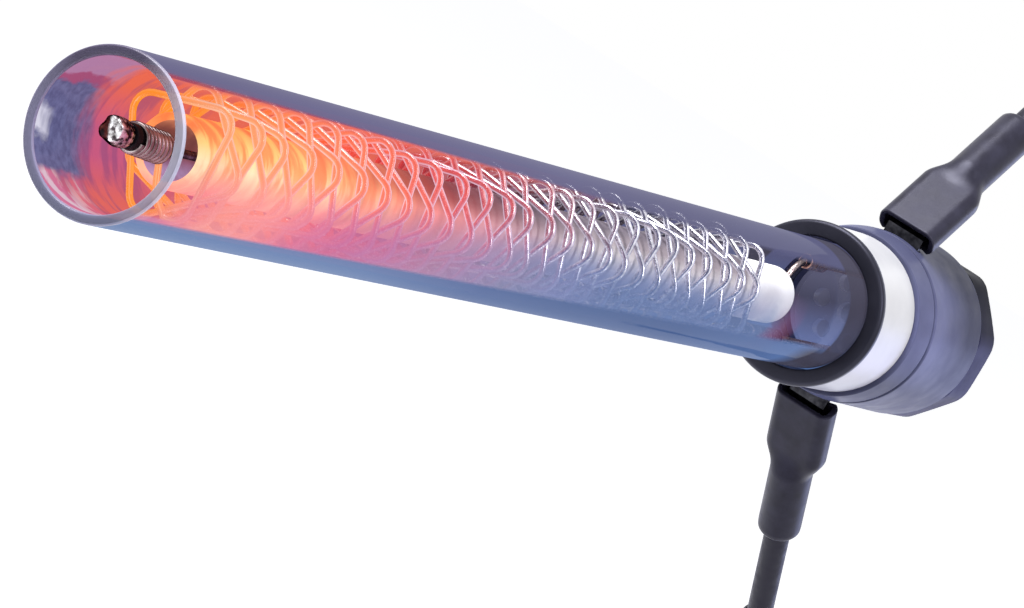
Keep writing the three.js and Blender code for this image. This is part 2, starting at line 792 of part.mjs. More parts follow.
place(heater, 'rear_body', rearBody(), blackMoulding);
place(heater, 'front_collar', frontCollar(), blackMoulding);
place(heater, 'label_band', labelBand(), whiteLabel);
place(heater, 'tube_gasket', tubeGasket(), greyFibre);
place(heater, 'inlet_insert', inletInsert(), brass);
place(heater, 'wire_guide', wireGuide(), blackMoulding);
place(heater, 'glass_tube', glassTube(), quartz);
place(heater, 'ceramic_core', ceramicCore(), whiteCeramic);
place(heater, 'heating_element', heatingElement(), elementWire);
place(heater, 'center_rod', centerRod(), nickel);
place(heater, 'rod_wrap', rodWrap(), nickel);
place(heater, 'weld_bead', weldBead(), nickel);
place(heater, 'rod_ferrule', rodFerrule(), nickel);
place(heater, 'tail_ferrule', tailFerrule(), nickel);
place(heater, 'upper_feed_wire', feedWire(1), copper);
place(heater, 'lower_feed_wire', feedWire(-1), copper);

const terminalSides = [
    { name: 'upper', turn: 0, lean: upperLean, leadLength: upperLeadLength },
    { name: 'lower', turn: Math.PI, lean: lowerLean, leadLength: lowerLeadLength },
];
for (const side of terminalSides) {
    const set = new THREE.Group();
    set.rotation.x = side.turn;
    place(set, `${side.name}_tab`, tab(side.lean), tinned);
    place(set, `${side.name}_receptacle`, receptacle(side.lean), tinned);
    place(set, `${side.name}_boot`, boot(side.lean), bootVinyl);
    place(set, `${side.name}_conductor`, conductor(side.lean), copper);
    place(set, `${side.name}_lead`, lead(side.lean, side.leadLength), leadSilicone);
    place(set, `${side.name}_eyelet`, eyelet(side.lean, side.leadLength), tinned);
    place(set, `${side.name}_eyelet_sleeve`, eyeletSleeve(side.lean, side.leadLength), sleeveVinyl);
    heater.add(set);
}

export default heater;
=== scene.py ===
# Looks of the in-line quartz tube air heater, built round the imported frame. Sizes here are millimetres.
import bpy
import bmesh
import math
import random
from mathutils import Matrix, Vector


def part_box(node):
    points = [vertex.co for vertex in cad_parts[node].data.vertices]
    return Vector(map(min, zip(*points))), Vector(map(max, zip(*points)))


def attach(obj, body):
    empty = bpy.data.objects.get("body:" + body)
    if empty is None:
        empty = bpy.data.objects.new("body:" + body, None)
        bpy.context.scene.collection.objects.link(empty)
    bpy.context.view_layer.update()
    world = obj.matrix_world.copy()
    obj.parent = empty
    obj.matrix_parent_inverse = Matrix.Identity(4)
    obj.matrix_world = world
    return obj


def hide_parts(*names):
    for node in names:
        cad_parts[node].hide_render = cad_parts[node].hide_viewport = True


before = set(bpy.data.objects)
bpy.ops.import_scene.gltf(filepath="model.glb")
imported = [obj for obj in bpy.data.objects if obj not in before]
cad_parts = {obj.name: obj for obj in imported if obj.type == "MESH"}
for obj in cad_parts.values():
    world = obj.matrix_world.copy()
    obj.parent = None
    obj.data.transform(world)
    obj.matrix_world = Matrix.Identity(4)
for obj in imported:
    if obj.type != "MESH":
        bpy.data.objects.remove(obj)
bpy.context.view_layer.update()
mm = 0.001


def low(node, axis=0):
    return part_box(node)[0][axis] / mm


def high(node, axis=0):
    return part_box(node)[1][axis] / mm


def placed(name, data):  # a new object in the scene
    made = bpy.data.objects.new(name, data)
    bpy.context.scene.collection.objects.link(made)
    return made


nozzle = high("glass_tube")
tubeRadius = high("glass_tube", 2)
tubeWall = 1.2
collarFront = high("front_collar")
collarBack = low("front_collar")
spigotFront = high("rear_body")
coreFront = high("ceramic_core")
coreBack = low("ceramic_core")
coreRadius = high("ceramic_core", 2)
coreBore = 3.3

# ---- camera, where the photograph was taken from ----

cameraSetup = {
    "lens": 162.74,
    "nozzleSeen": (-42.3, -17.5, 478.0),  # nozzle's centre, right, down and away from the lens
    "axisSeen": (0.3937, 0.0802, 0.9157),  # from the nozzle towards the head
    "terminalRoll": 59.2,  # degrees from level to the upper terminal
}


def makeCamera(setup):
    away = Vector(setup["axisSeen"]).normalized()
    level = away.cross(Vector((0, -1, 0))).normalized()
    rise = level.cross(away)
    roll = math.radians(setup["terminalRoll"])
    rowX = -away
    rowZ = level * math.cos(roll) + rise * math.sin(roll)
    rows = (rowX, rowZ.cross(rowX), rowZ)
    origin = Vector(setup["nozzleSeen"]) + away * nozzle
    place = Vector([-origin.dot(axis) * mm for axis in rows])
    right = Vector([axis.x for axis in rows])
    up = Vector([-axis.y for axis in rows])
    back = Vector([-axis.z for axis in rows])
    data = bpy.data.cameras.new("photoCamera")
    data.lens = setup["lens"]
    data.sensor_width = 36
    data.clip_start = 0.02
    data.clip_end = 20
    camera = placed("photoCamera", data)
    camera.matrix_world = Matrix.Translation(place) @ Matrix((right, up, back)).transposed().to_4x4()
    bpy.context.scene.camera = camera
    return right, up, back


screenRight, screenUp, towardsCamera = makeCamera(cameraSetup)
print("camera ready")

# ---- node trees ----

finishes = {}
upWay = Vector((0, -0.346, 0.938))  # across the heater, to the side that lies up in the photograph
farWay = Vector((0, -0.938, -0.346))  # across the heater, square to the other


class Graph:  # a node tree that grows step by step
    def __init__(self, tree):
        self.tree = tree

    def feed(self, sockets, values):  # links what comes from a node and sets what is plain
        for name, value in values.items():
            if isinstance(value, bpy.types.NodeSocket):
                self.tree.links.new(value, sockets[name])
            else:
                sockets[name].default_value = value

    def step(self, kind, values={}, **settings):
        added = self.tree.nodes.new(kind)
        for name, value in settings.items():
            setattr(added, name, value)
        self.feed(added.inputs, values)
        return added.outputs

    def calc(self, operation, *values, clamp=False):
        return self.step("ShaderNodeMath", dict(enumerate(values)), operation=operation, use_clamp=clamp)[0]

    def whenSeen(self):  # 1 for what the eye, metal and glass see, 0 for what lights the object
        path = self.step("ShaderNodeLightPath")
        first = self.calc("MAXIMUM", path["Is Camera Ray"], path["Is Glossy Ray"])
        return self.calc("MAXIMUM", first, path["Is Transmission Ray"])


class Finish(Graph):  # a material, kept under its name
    def __init__(self, name, base, roughness, metallic=0.0, **sockets):
        self.material = finishes[name] = bpy.data.materials.new(name)
        self.material.use_nodes = True
        super().__init__(self.material.node_tree)
        self.set(Base_Color=(*base, 1), Roughness=roughness, Metallic=metallic, **sockets)

    def set(self, **sockets):
        self.feed(self.tree.nodes["Principled BSDF"].inputs,
                  {name.replace("_", " "): value for name, value in sockets.items()})

    def place(self):
        return self.step("ShaderNodeTexCoord")["Object"]

    def noise(self, scale, detail=4, stretch=(1, 1, 1)):
        place = self.step("ShaderNodeMapping", {"Vector": self.place(), "Scale": stretch})[0]
        return self.step("ShaderNodeTexNoise", {"Vector": place, "Scale": scale, "Detail": detail})["Fac"]

    def frayed(self, source, amount, *grain):
        return self.calc("MULTIPLY_ADD", self.noise(*grain), amount, source)

    def ramp(self, source, *stops):  # each stop is a place and a colour, or a place and a level of grey
        added = self.tree.nodes.new("ShaderNodeValToRGB")
        self.tree.links.new(source, added.inputs["Fac"])
        elements = added.color_ramp.elements
        while len(elements) > 1:
            elements.remove(elements[-1])
        for i, (place, colour) in enumerate(stops):
            element = elements[0] if i == 0 else elements.new(place)
            element.position = place
            element.color = (*colour, 1) if isinstance(colour, tuple) else (colour, colour, colour, 1)
        return added.outputs["Color"]

    def span(self, source, start, end):
        return self.step("ShaderNodeMapRange", {"Value": source, "From Min": start * mm,
                                                "From Max": end * mm})[0]

    def along(self, start, end):  # 0 at the start place along the heater and 1 at the end place
        return self.span(self.step("ShaderNodeSeparateXYZ", {0: self.place()})["X"], start, end)

    def across(self, way, start, end):  # 0 at the start height and 1 at the end height along that way
        height = self.step("ShaderNodeVectorMath", {0: self.place(), 1: way},
                           operation="DOT_PRODUCT")["Value"]
        return self.span(height, start, end)

    def up(self, start, end):
        return self.across(upWay, start, end)

    def away(self, start, end):
        return self.across(farWay, start, end)

    def mix(self, share, first, second, blend="MIX"):
        first, second = [(*value, 1) if isinstance(value, tuple) else value for value in (first, second)]
        return self.step("ShaderNodeMix", {0: share, 6: first, 7: second}, data_type="RGBA",
                         blend_type=blend)[2]

    def tinted(self, first, second):
        return self.mix(1, first, second, "MULTIPLY")

    def times(self, value, *others):
        for other in others:
            value = self.calc("MULTIPLY", value, other)
        return value

    def larger(self, first, second, clamp=False):
        return self.calc("MAXIMUM", first, second, clamp=clamp)

    def roughen(self, grain, lowest, highest):
        self.set(Roughness=self.ramp(self.noise(*grain), (0.3, lowest), (0.7, highest)))

    def bump(self, grain, strength, distance=0.05):
        self.set(Normal=self.step("ShaderNodeBump", {"Height": self.noise(*grain), "Strength": strength,
                                                     "Distance": distance * mm})[0])


# ---- finishes ----


def plainFinish(name, base, roughness, metallic=0.0, tone=None, rough=None, bump=None, **sockets):
    made = Finish(name, base, roughness, metallic, **sockets)
    if tone:
        grain, *stops = tone
        made.set(Base_Color=made.ramp(made.noise(*grain), *stops))
    if rough:
        made.roughen(*rough)
    if bump:
        made.bump(*bump)


plainFinish("fibre", (0.19, 0.18, 0.17), 0.9, bump=((2400, 4, (0.3, 1, 1)), 0.5, 0.1),
            tone=((1800, 5, (0.3, 1, 1)), (0.3, (0.13, 0.12, 0.11)), (0.7, (0.26, 0.25, 0.23))))
plainFinish("turnedBrass", (0.55, 0.38, 0.13), 0.28, 1, rough=((700, 3, (8, 1, 1)), 0.2, 0.38),
            bump=((900, 2, (14, 1, 1)), 0.12, 0.03))
plainFinish("nickelWire", (0.45, 0.44, 0.45), 0.24, 1, Specular_Tint=(0.1, 0.08, 0.1, 1),
            tone=((1500, 4), (0.35, (0.17, 0.13, 0.13)), (0.65, (0.46, 0.38, 0.37))),
            rough=((2100, 3), 0.15, 0.33), bump=((2600, 3), 0.15, 0.03))
plainFinish("burntNickel", (0.2, 0.17, 0.17), 0.26, 1, Specular_Tint=(0.05, 0.04, 0.05, 1),
            tone=((420, 3), (0.35, (0.15, 0.11, 0.11)), (0.65, (0.46, 0.40, 0.40))),
            rough=((900, 3), 0.2, 0.3))
plainFinish("burntMetal", (0.012, 0.011, 0.013), 0.4, 0.6, Specular_Tint=(0.1, 0.1, 0.1, 1),
            rough=((1400, 3), 0.3, 0.5))
plainFinish("bareCopper", (0.78, 0.46, 0.34), 0.3, 1, rough=((1600, 3), 0.22, 0.42))
plainFinish("tinnedBrass", (0.6, 0.6, 0.62), 0.27, 1, rough=((900, 3, (1, 6, 1)), 0.2, 0.36),
            tone=((700, 4), (0.3, (0.50, 0.50, 0.52)), (0.7, (0.68, 0.68, 0.70))))
# near-black tin
plainFinish("agedTin", (0.07, 0.07, 0.08), 0.35, 1, rough=((1200, 3), 0.28, 0.45),
            tone=((900, 4), (0.35, (0.014, 0.014, 0.018)), (0.7, (0.06, 0.06, 0.07))))
plainFinish("sleeveVinyl", (0.012, 0.012, 0.016), 0.4, Specular_IOR_Level=0.35, rough=((500, 4), 0.32, 0.5),
            bump=((900, 3), 0.2, 0.06))
softSheen = {"Sheen_Weight": 0.08, "Sheen_Roughness": 0.4, "Sheen_Tint": (0.6, 0.62, 1.0, 1)}
# the lower boot and lead are shaded copies of the same vinyl and silicone, with less gloss
for side, vinylGloss, siliconeGloss in (("upper", 0.30, 0.22), ("lower", 0.10, 0.12)):
    plainFinish(f"{side}Vinyl", (0.020, 0.019, 0.030), 0.34, Specular_IOR_Level=vinylGloss,
                Specular_Tint=(0.78, 0.78, 1.0, 1), rough=((300, 4), 0.30, 0.44), bump=((420, 3), 0.22, 0.12),
                tone=((300, 4), (0.3, (0.009, 0.008, 0.014)), (0.7, (0.020, 0.019, 0.032))), **softSheen)
    plainFinish(f"{side}Silicone", (0.010, 0.009, 0.015), 0.44, Specular_IOR_Level=siliconeGloss,
                Specular_Tint=(0.8, 0.8, 1.0, 1), rough=((700, 4), 0.36, 0.55), bump=((1100, 3), 0.15),
                **softSheen)


def moulding(name, dark, pale, gloss, sheen, front, rear):  # front and rear: painted shade, as shares from low to high
    made = Finish(name, pale, 0.38, Specular_IOR_Level=gloss, Specular_Tint=(0.72, 0.72, 1.0, 1),
                  Sheen_Weight=sheen, Sheen_Roughness=0.35, Sheen_Tint=(0.40, 0.45, 1.0, 1))
    tone = made.ramp(made.noise(140, 5), (0.3, dark), (0.7, pale))
    height = made.up(-12, 12)
    # painted light and shade: the tone is darkened by height, in one way at the front and another at the rear
    paintedShade = [made.ramp(height, *zip((0.1, 0.41, 0.56, 0.85), shares)) for shares in (front, rear)]
    made.set(Base_Color=made.tinted(tone, made.mix(made.along(25, 13), *paintedShade)))
    made.roughen((260, 5), 0.33, 0.47)
    made.bump((1500, 3), 0.10)


# one black moulding in three copies: as it is, a lit copy with painted blue-violet light for the round part,
# and a dimmer lit copy for the spanner section
moulding("blackMoulding", (0.006, 0.006, 0.009), (0.011, 0.011, 0.016), 0.35, 0.15, (1, 1, 1, 1),
         (1, 1, 1, 1))
moulding("satinMoulding", (0.112, 0.118, 0.222), (0.162, 0.171, 0.302), 0.10, 0.2,
         (0.28, 1, 0.85, 0.42), (0.28, 0.28, 0.14, 0.09))
moulding("darkMoulding", (0.044, 0.044, 0.096), (0.078, 0.078, 0.160), 0.02, 0.03,
         (0.9, 0.9, 0.2, 0.05), (0.9, 0.9, 0.2, 0.05))


def labelVinyl():
    made = Finish("labelVinyl", (0.86, 0.86, 0.90), 0.42, Coat_Weight=0.25, Coat_Roughness=0.25)
    # painted light and shade by height: darker and bluer low down, lightest in the middle, a little darker at
    # the top
    tone = made.ramp(made.up(-11, 9), (0, (0.34, 0.34, 0.42)), (0.2, (0.54, 0.52, 0.55)),
                     (0.5, (0.74, 0.73, 0.71)), (1, (0.53, 0.53, 0.55)))
    made.set(Base_Color=made.tinted(tone, made.ramp(made.noise(160, 4), (0.3, 0.90), (0.7, 1))))
    made.bump((420, 3), 0.08)


def whiteCeramic():  # lit up by the winding over its front half: that light is painted in as emission and warm tints, with painted shade by height
    made = Finish("whiteCeramic", (0.83, 0.82, 0.79), 0.62, Specular_IOR_Level=0.4)
    ramp, mix, noise = made.ramp, made.mix, made.noise
    along = made.along(nozzle - 12, nozzle - 165)
    height = made.up(-5, 5)
    tone = ramp(noise(260, 5), (0.3, (0.84, 0.83, 0.83)), (0.7, (0.95, 0.94, 0.94)))
    # painted light and shade by height: bluish below, cream in the middle, dark above
    paintedLightAndShadeByHeight = ramp(height, (0, (0.50, 0.55, 0.78)), (0.3, (0.72, 0.72, 0.84)), (0.52, (0.92, 0.86, 0.82)),
                      (0.66, (0.42, 0.36, 0.37)), (0.82, (0.14, 0.12, 0.14)))
    # painted glow: the base colour is tinted warm at the front
    glowZoneTone = ramp(along, (0, (0.45, 0.17, 0.05)), (0.28, (0.50, 0.24, 0.15)), (0.46, (0.56, 0.38, 0.36)),
                  (0.70, (0.50, 0.44, 0.53)), (0.9, (0.60, 0.59, 0.63)))
    cooled = ramp(along, (0.14, 0), (0.40, 1))
    covered = mix(ramp(along, (0.45, 1), (0.75, 0)), tone, glowZoneTone)
    covered = mix(cooled, covered, made.tinted(covered, paintedLightAndShadeByHeight))
    # painted glow colours, by height and along the core
    dull = ramp(height, (0, (0.80, 0.16, 0.22)), (0.25, (1.0, 0.46, 0.32)), (0.50, (1.0, 0.42, 0.14)),
                (0.9, (0.92, 0.15, 0.03)))
    bright = ramp(height, (0, (1.0, 0.36, 0.34)), (0.22, (1.0, 0.58, 0.40)), (0.45, (1.0, 0.92, 0.58)),
                  (0.65, (1.0, 0.74, 0.26)), (0.9, (1.0, 0.36, 0.06)))
    streaks = ramp(noise(520, 4, (1, 0.3, 0.3)), (0.44, 0), (0.56, 1))
    cooling = ramp(along, (0.28, (0.95, 0.30, 0.16)), (0.42, (0.64, 0.20, 0.18)), (0.55, (0.26, 0.10, 0.12)),
                   (0.68, 0))
    shadowed = ramp(along, (0.20, (0.80, 0.16, 0.03)), (0.32, (0.50, 0.07, 0.03)), (0.45, (0.22, 0.03, 0.03)),
                    (0.60, (0.03, 0.02, 0.03)))
    # painted shade: the glow turns dark red on the upper side
    upper = made.times(cooled, ramp(height, (0.50, 0), (0.72, 1)))
    glow = mix(cooled, mix(streaks, dull, bright), cooling)
    strength = ramp(noise(210, 3, (1, 0.35, 0.35)), (0.36, 0.62), (0.6, 1))
    made.set(Base_Color=mix(made.along(coreBack + 20, coreBack + 14), covered, tone),
             Emission_Color=mix(upper, glow, shadowed), Emission_Strength=strength)
    made.bump((1500, 4), 0.25, 0.06)


def coreBoreFinish():
    made = Finish("coreBore", (0.1, 0.04, 0.03), 0.6)
    ramp = made.ramp
    height = made.up(-coreBore, coreBore)
    # painted light and glow by height: purple below, dark red in the middle, warm at the top
    tone = ramp(height, (0, (0.30, 0.22, 0.36)), (0.25, (0.26, 0.13, 0.24)), (0.42, (0.20, 0.045, 0.04)),
                (0.75, (0.13, 0.03, 0.02)), (1, (0.32, 0.09, 0.04)))
    glow = ramp(height, (0, (0.46, 0.26, 0.46)), (0.2, (0.34, 0.24, 0.42)), (0.38, (0.22, 0.10, 0.17)),
                (0.5, (0.17, 0.05, 0.045)), (0.85, (0.20, 0.065, 0.035)), (1, (0.55, 0.20, 0.09)))
    made.set(Base_Color=tone, Emission_Color=glow,
             Emission_Strength=ramp(made.noise(420, 4), (0.35, 0.6), (0.65, 1)))
    made.bump((1200, 4), 0.3, 0.06)


def resistanceWire():  # bright orange behind the nozzle, cooling to silver by half way
    made = Finish("resistanceWire", (0.42, 0.42, 0.44), 0.24, 1, Specular_Tint=(0.12, 0.11, 0.16, 1),
                  Coat_Weight=0.8, Coat_Roughness=0.1, Coat_IOR=1.5, Emission_Strength=0.92)
    ramp, mix = made.ramp, made.mix
    along = made.along(nozzle - 12, nozzle - 185)

    def cooling(*tones):
        return ramp(along, *zip((0, 0.12, 0.25, 0.36, 0.48, 0.60), tones))

    # the glow is the wire's own; on top of it, painted light: the near strands glow paler than the far ones
    far = cooling((1.0, 0.30, 0.01), (1.0, 0.22, 0.015), (1.0, 0.11, 0.02), (0.68, 0.035, 0.03),
                  (0.24, 0.01, 0.02), 0)
    near = cooling((1.0, 0.38, 0.14), (1.0, 0.32, 0.14), (0.88, 0.18, 0.10), (0.56, 0.06, 0.06),
                   (0.22, 0.03, 0.05), (0.03, 0.03, 0.04))
    sheen = cooling((1.0, 0.62, 0.46), (1.0, 0.60, 0.54), (0.96, 0.62, 0.70), (0.84, 0.62, 0.80),
                    (0.60, 0.54, 0.70), (0.34, 0.33, 0.42))
    # painted sheen: pale edges mixed into the emission by Layer Weight
    facing = made.step("ShaderNodeLayerWeight")["Facing"]
    near = mix(ramp(facing, (0.16, 0), (0.50, 1)), near, sheen)
    # painted light: a pinker glow on the lower strands
    lower = ramp(along, (0, (1.0, 0.33, 0.20)), (0.10, (0.95, 0.28, 0.24)), (0.22, (0.72, 0.15, 0.26)),
                 (0.36, (0.46, 0.06, 0.17)), (0.48, (0.18, 0.02, 0.08)), (0.60, 0))
    # painted light and shade: near strands bright silver, far strands dark
    bright = ramp(made.noise(1300, 4), (0.35, (0.50, 0.49, 0.54)), (0.65, (0.92, 0.91, 0.96)))
    dark = ramp(made.noise(1300, 4), (0.35, (0.09, 0.085, 0.10)), (0.65, (0.34, 0.32, 0.36)))
    glowZoneTone = ramp(along, (0, (0.20, 0.14, 0.12)), (0.4, (0.30, 0.22, 0.24)))
    made.set(Emission_Color=mix(made.away(-5, 3), mix(made.up(-5, 0), lower, near), far),
             Base_Color=mix(ramp(along, (0.25, 1), (0.6, 0)), mix(made.away(-4, 2), bright, dark), glowZoneTone))
    made.roughen((1700, 3), 0.20, 0.33)


def weldedTip():  # dark with painted red reflections on one side, a painted highlight over speckled melted metal on the other
    made = Finish("weldedTip", (0.4, 0.39, 0.4), 0.2, 1, Specular_Tint=(0.1, 0.09, 0.1, 1))
    ramp = made.ramp
    speckledHighlight = ramp(made.noise(1500, 4), (0.42, (0.05, 0.04, 0.045)), (0.50, (0.42, 0.40, 0.41)),
                   (0.62, (0.85, 0.85, 0.87)))
    # painted shade with red reflections, for the far side
    scale = ramp(made.noise(700, 4), (0.40, (0.012, 0.008, 0.010)), (0.56, (0.10, 0.022, 0.02)),
                 (0.70, (0.22, 0.12, 0.10)))
    made.set(Base_Color=made.mix(ramp(made.away(1.5, -1.5), (0.42, 0), (0.52, 1)), scale, speckledHighlight))
    made.roughen((1300, 4), 0.12, 0.4)
    made.bump((1900, 5), 0.6, 0.12)


def chamber(name, share):  # the wire guide and the wall round it, lit dimly down the tube: that light is painted in as emission, bluer below
    made = Finish(name, (0.03, 0.03, 0.04), 0.5, Specular_IOR_Level=0.3, Emission_Strength=share)
    made.set(Emission_Color=made.ramp(made.up(-6, 6), (0.1, (0.13, 0.165, 0.35)), (0.45, (0.085, 0.09, 0.17)),
                                      (0.6, (0.062, 0.062, 0.105)), (0.9, (0.10, 0.10, 0.165))))
    made.bump((600, 4), 0.2)


# colours of the painted reflections on the quartz: slate violet and steel blue for the far wall, warm tones
# for the winding's glow, glint a painted highlight, redEdge and paleEdge painted lines
quartzTones = {
    "aboveFront": (0.088, 0.078, 0.192),  # slate violet
    "aboveRear": (0.096, 0.100, 0.205),
    "belowFront": (0.092, 0.180, 0.388),  # steel blue
    "belowRear": (0.048, 0.110, 0.290),
    "belowHead": (0.090, 0.175, 0.410),
    "slate": (0.140, 0.142, 0.300),
    "slateDark": (0.085, 0.083, 0.200),
    "glint": (0.78, 0.76, 0.88),
    "dusk": (0.200, 0.050, 0.180),
    "plum": (0.360, 0.070, 0.170),
    "mauve": (0.430, 0.200, 0.360),
    "rose": (0.620, 0.150, 0.270),
    "glowAbove": (0.86, 0.140, 0.070),
    "glowMiddle": (0.60, 0.090, 0.20),
    "glowBelow": (0.66, 0.16, 0.34),
    "glowFarBelow": (0.76, 0.12, 0.09),
    "redEdge": (0.30, 0.020, 0.060),
    "paleEdge": (0.70, 0.50, 0.58),
}


def quartz(name):
    made = Finish(name, (0.02, 0.02, 0.03), 0.1, Specular_IOR_Level=0.0, Coat_Weight=0.15,
                  Coat_Roughness=0.05, Coat_IOR=1.3, Emission_Strength=1)
    return made, made.step("ShaderNodeFresnel", {"IOR": 1.45})[0], quartzTones


def quartzOutside():  # painted reflection: the far wall is painted slate and steel blue, as if it turned light back
    made, fresnel, tones = quartz("quartzOutside")
    ramp, mix, times, up = made.ramp, made.mix, made.times, made.up
    edges = ramp(fresnel, (0, 0.01), (0.12, 0.02), (0.222, 0.04), (0.236, 0.60), (0.248, 0.95), (1, 0.98))
    above = mix(made.along(nozzle - 60, collarFront), tones["aboveFront"], tones["aboveRear"])
    below = mix(made.along(nozzle - 55, nozzle - 90), tones["belowFront"], tones["belowRear"])
    below = mix(made.along(nozzle - 155, collarFront + 12), below, tones["belowHead"])
    tone = mix(up(-6, 6), below, above)
    streaks = ramp(made.noise(90, 3, (0.12, 1, 1)), (0.35, 0.86), (0.65, 1))
    behindCore = made.along(coreBack - 2, collarFront)  # painted haze and shade on the wall in front of the dark head
    deep = ramp(behindCore, (0, 0), (0.16, 1))
    clear = ramp(up(-2, 2), (0.25, 0.45), (0.55, 0.25))
    # painted shade: a dark ring where the collar's shade shows through the glass, wider low down
    dim = ramp(made.along(collarFront + 7, collarFront - 2), (0, 0), (0.10, 1), (0.9, 1), (1, 0))
    dimLow = times(made.along(collarFront + 17, collarFront + 10), ramp(up(-9.5, -4), (0.45, 1), (0.75, 0)),
                   made.along(collarFront - 2, collarFront - 1.5))
    dim = made.larger(dim, dimLow)
    haze = made.larger(times(deep, clear), times(dim, 0.86))
    shaded = mix(up(-8, 8), (0.034, 0.032, 0.050), (0.060, 0.055, 0.080))
    depth = mix(up(-3, 3), (0.140, 0.180, 0.370), (0.082, 0.082, 0.122))
    rear = made.tinted(mix(edges, mix(deep, tone, depth), tone), streaks)
    made.set(Emission_Color=mix(dim, rear, shaded), Alpha=made.larger(edges, haze))


def quartzInside():  # the bore: its far side is painted with a reflection of the glowing wire, its near side stays clear but for a painted haze
    made, fresnel, tones = quartz("quartzInside")
    ramp, mix, times, noise, up = made.ramp, made.mix, made.times, made.noise, made.up
    mirrored = ramp(fresnel, (0, 0.7), (0.1, 0.95), (0.5, 0.98), (0.93, 0.85), (0.97, 0))
    along = made.along(nozzle, nozzle - 130)
    facing = made.away(1, -1)  # 1 on the side of the photographer
    behind = made.away(-1, 1)
    # painted reflection of the glow: warm tones by height and side
    below = mix(made.away(-2, 3), tones["glowBelow"], tones["glowFarBelow"])
    warm = mix(up(-6.5, -2), below, tones["glowMiddle"])
    warm = mix(up(1, 6), warm, tones["glowAbove"])
    warm = mix(times(up(-2, 3), ramp(along, (0.12, 0), (0.26, 1))), warm, tones["glowAbove"])
    streaks = ramp(noise(420, 4, (1, 0.3, 0.3)), (0.40, 0.5), (0.52, 0))
    warm = mix(times(streaks, ramp(along, (0.16, 1), (0.30, 0)), behind), warm, tones["dusk"])
    ragged = made.frayed(along, 0.10, 300, 4, (1, 0.4, 0.4))
    height = up(-8.3, 8.3)
    torn = made.frayed(height, 0.24, 340, 5, (0.5, 1, 1))
    # painted reflection: mottled slate, plum and mauve towards the top
    cool = ramp(noise(1100, 4), (0.35, tones["slateDark"]), (0.65, tones["slate"]))
    cool = mix(ramp(torn, (0.91, 0), (0.935, 1)), cool, tones["plum"])
    cool = mix(ramp(torn, (0.965, 0), (0.985, 1)), cool, tones["mauve"])
    # painted highlight spot near the rim
    spot = times(ramp(torn, (0.51, 0), (0.56, 1), (0.70, 1), (0.76, 0)), ramp(ragged, (0.060, 1), (0.086, 0)))
    cool = mix(spot, cool, tones["glint"])
    nearRim = times(behind, ramp(ragged, (0.115, 1), (0.150, 0)), ramp(torn, (0.30, 0), (0.36, 1)))
    tone = mix(nearRim, warm, cool)
    # painted pink and pale streaks of reflection near the rim, low down
    paintedReflectionStreaks = ramp(noise(700, 4, (1, 0.4, 0.4)), (0.48, tones["rose"]), (0.58, tones["paleEdge"]))
    tone = mix(times(ramp(torn, (0.30, 1), (0.38, 0)), ramp(ragged, (0.075, 1), (0.12, 0))), tone, paintedReflectionStreaks)
    # painted lines on the near side: red along the top, pale low down
    tone = mix(times(ramp(height, (0.930, 0), (0.940, 1)), facing), tone, tones["redEdge"])
    tone = mix(times(ramp(torn, (0.19, 0.35), (0.205, 0)), facing), tone, tones["paleEdge"])
    # painted haze of the glow on the near side
    haze = times(facing, ramp(along, (0.03, 0), (0.10, 0.85), (1, 1)),
                 made.along(coreBack + 4, coreBack + 16))
    hazeTone = ramp(along, (0.06, (0.72, 0.17, 0.36)), (0.14, (0.98, 0.36, 0.33)), (0.22, (0.96, 0.34, 0.36)),
                    (0.30, (0.70, 0.20, 0.36)), (0.37, (0.55, 0.17, 0.36)), (0.46, (0.47, 0.216, 0.42)),
                    (0.56, (0.41, 0.28, 0.45)), (0.65, (0.35, 0.30, 0.50)), (0.75, (0.27, 0.30, 0.485)),
                    (0.85, (0.235, 0.287, 0.52)), (1, (0.16, 0.23, 0.44)))
    tone = mix(times(haze, ramp(height, (0.45, 1), (0.7, 0))), tone, hazeTone)
    weight = made.step("ShaderNodeLayerWeight", {"Blend": 0.5})["Facing"]
    edge = ramp(weight, (0.64, 0), (0.72, 0.10), (0.76, 0.35), (0.79, 0.85), (1, 0.95))
    wisps = made.frayed(height, 0.16, 260, 4, (1, 0.3, 0.3))
    depth = ramp(wisps, (0.14, 0.88), (0.30, 0.76), (0.41, 0.52), (0.50, 0.20), (0.62, 0))
    veil = times(made.larger(edge, mirrored), ramp(along, (0, 1), (0.6, 0.92), (1, 0)))
    made.set(Emission_Color=tone, Alpha=made.larger(veil, times(haze, depth), clamp=True))


def quartzRim():
    made = Finish("quartzRim", (0.25, 0.24, 0.33), 0.3, Specular_IOR_Level=0.25, Alpha=0.88)
    mix = made.mix
    # painted light and shade: darker at the top, lighter at the sides, most on the near side
    tone = mix(made.up(-8, 8), (0.24, 0.23, 0.34), (0.105, 0.088, 0.150))
    tone = mix(made.away(5, 9), tone, (0.30, 0.28, 0.42))
    tone = mix(made.away(-3, -9), tone, (0.60, 0.60, 0.74))
    # painted highlight lines at the inner and outer edges
    flat = made.step("ShaderNodeVectorMath", {0: made.place(), 1: (0, 1 / mm, 1 / mm)},
                     operation="MULTIPLY")[0]
    reach = made.step("ShaderNodeVectorMath", {0: flat}, operation="LENGTH")["Value"]
    paintedEdgeLines = made.ramp(made.calc("SUBTRACT", reach, tubeRadius - tubeWall), (0.04, 1), (0.16, 0.55),
                      (0.90, 0.5), (1.0, 0.38), (1.1, 0.85))
    made.set(Base_Color=made.tinted(tone, paintedEdgeLines))
    made.bump((300, 3), 0.2, 0.1)


for finish in (labelVinyl, whiteCeramic, coreBoreFinish, resistanceWire, weldedTip, quartzOutside,
               quartzInside, quartzRim):
    finish()
chamber("slateBoard", 0.95)
chamber("chamberWall", 0.75)
print("finishes ready")

# ---- shaping ----


def aroundAxis(x, radius, angle):
    return Vector((x, radius * math.cos(angle), radius * math.sin(angle)))


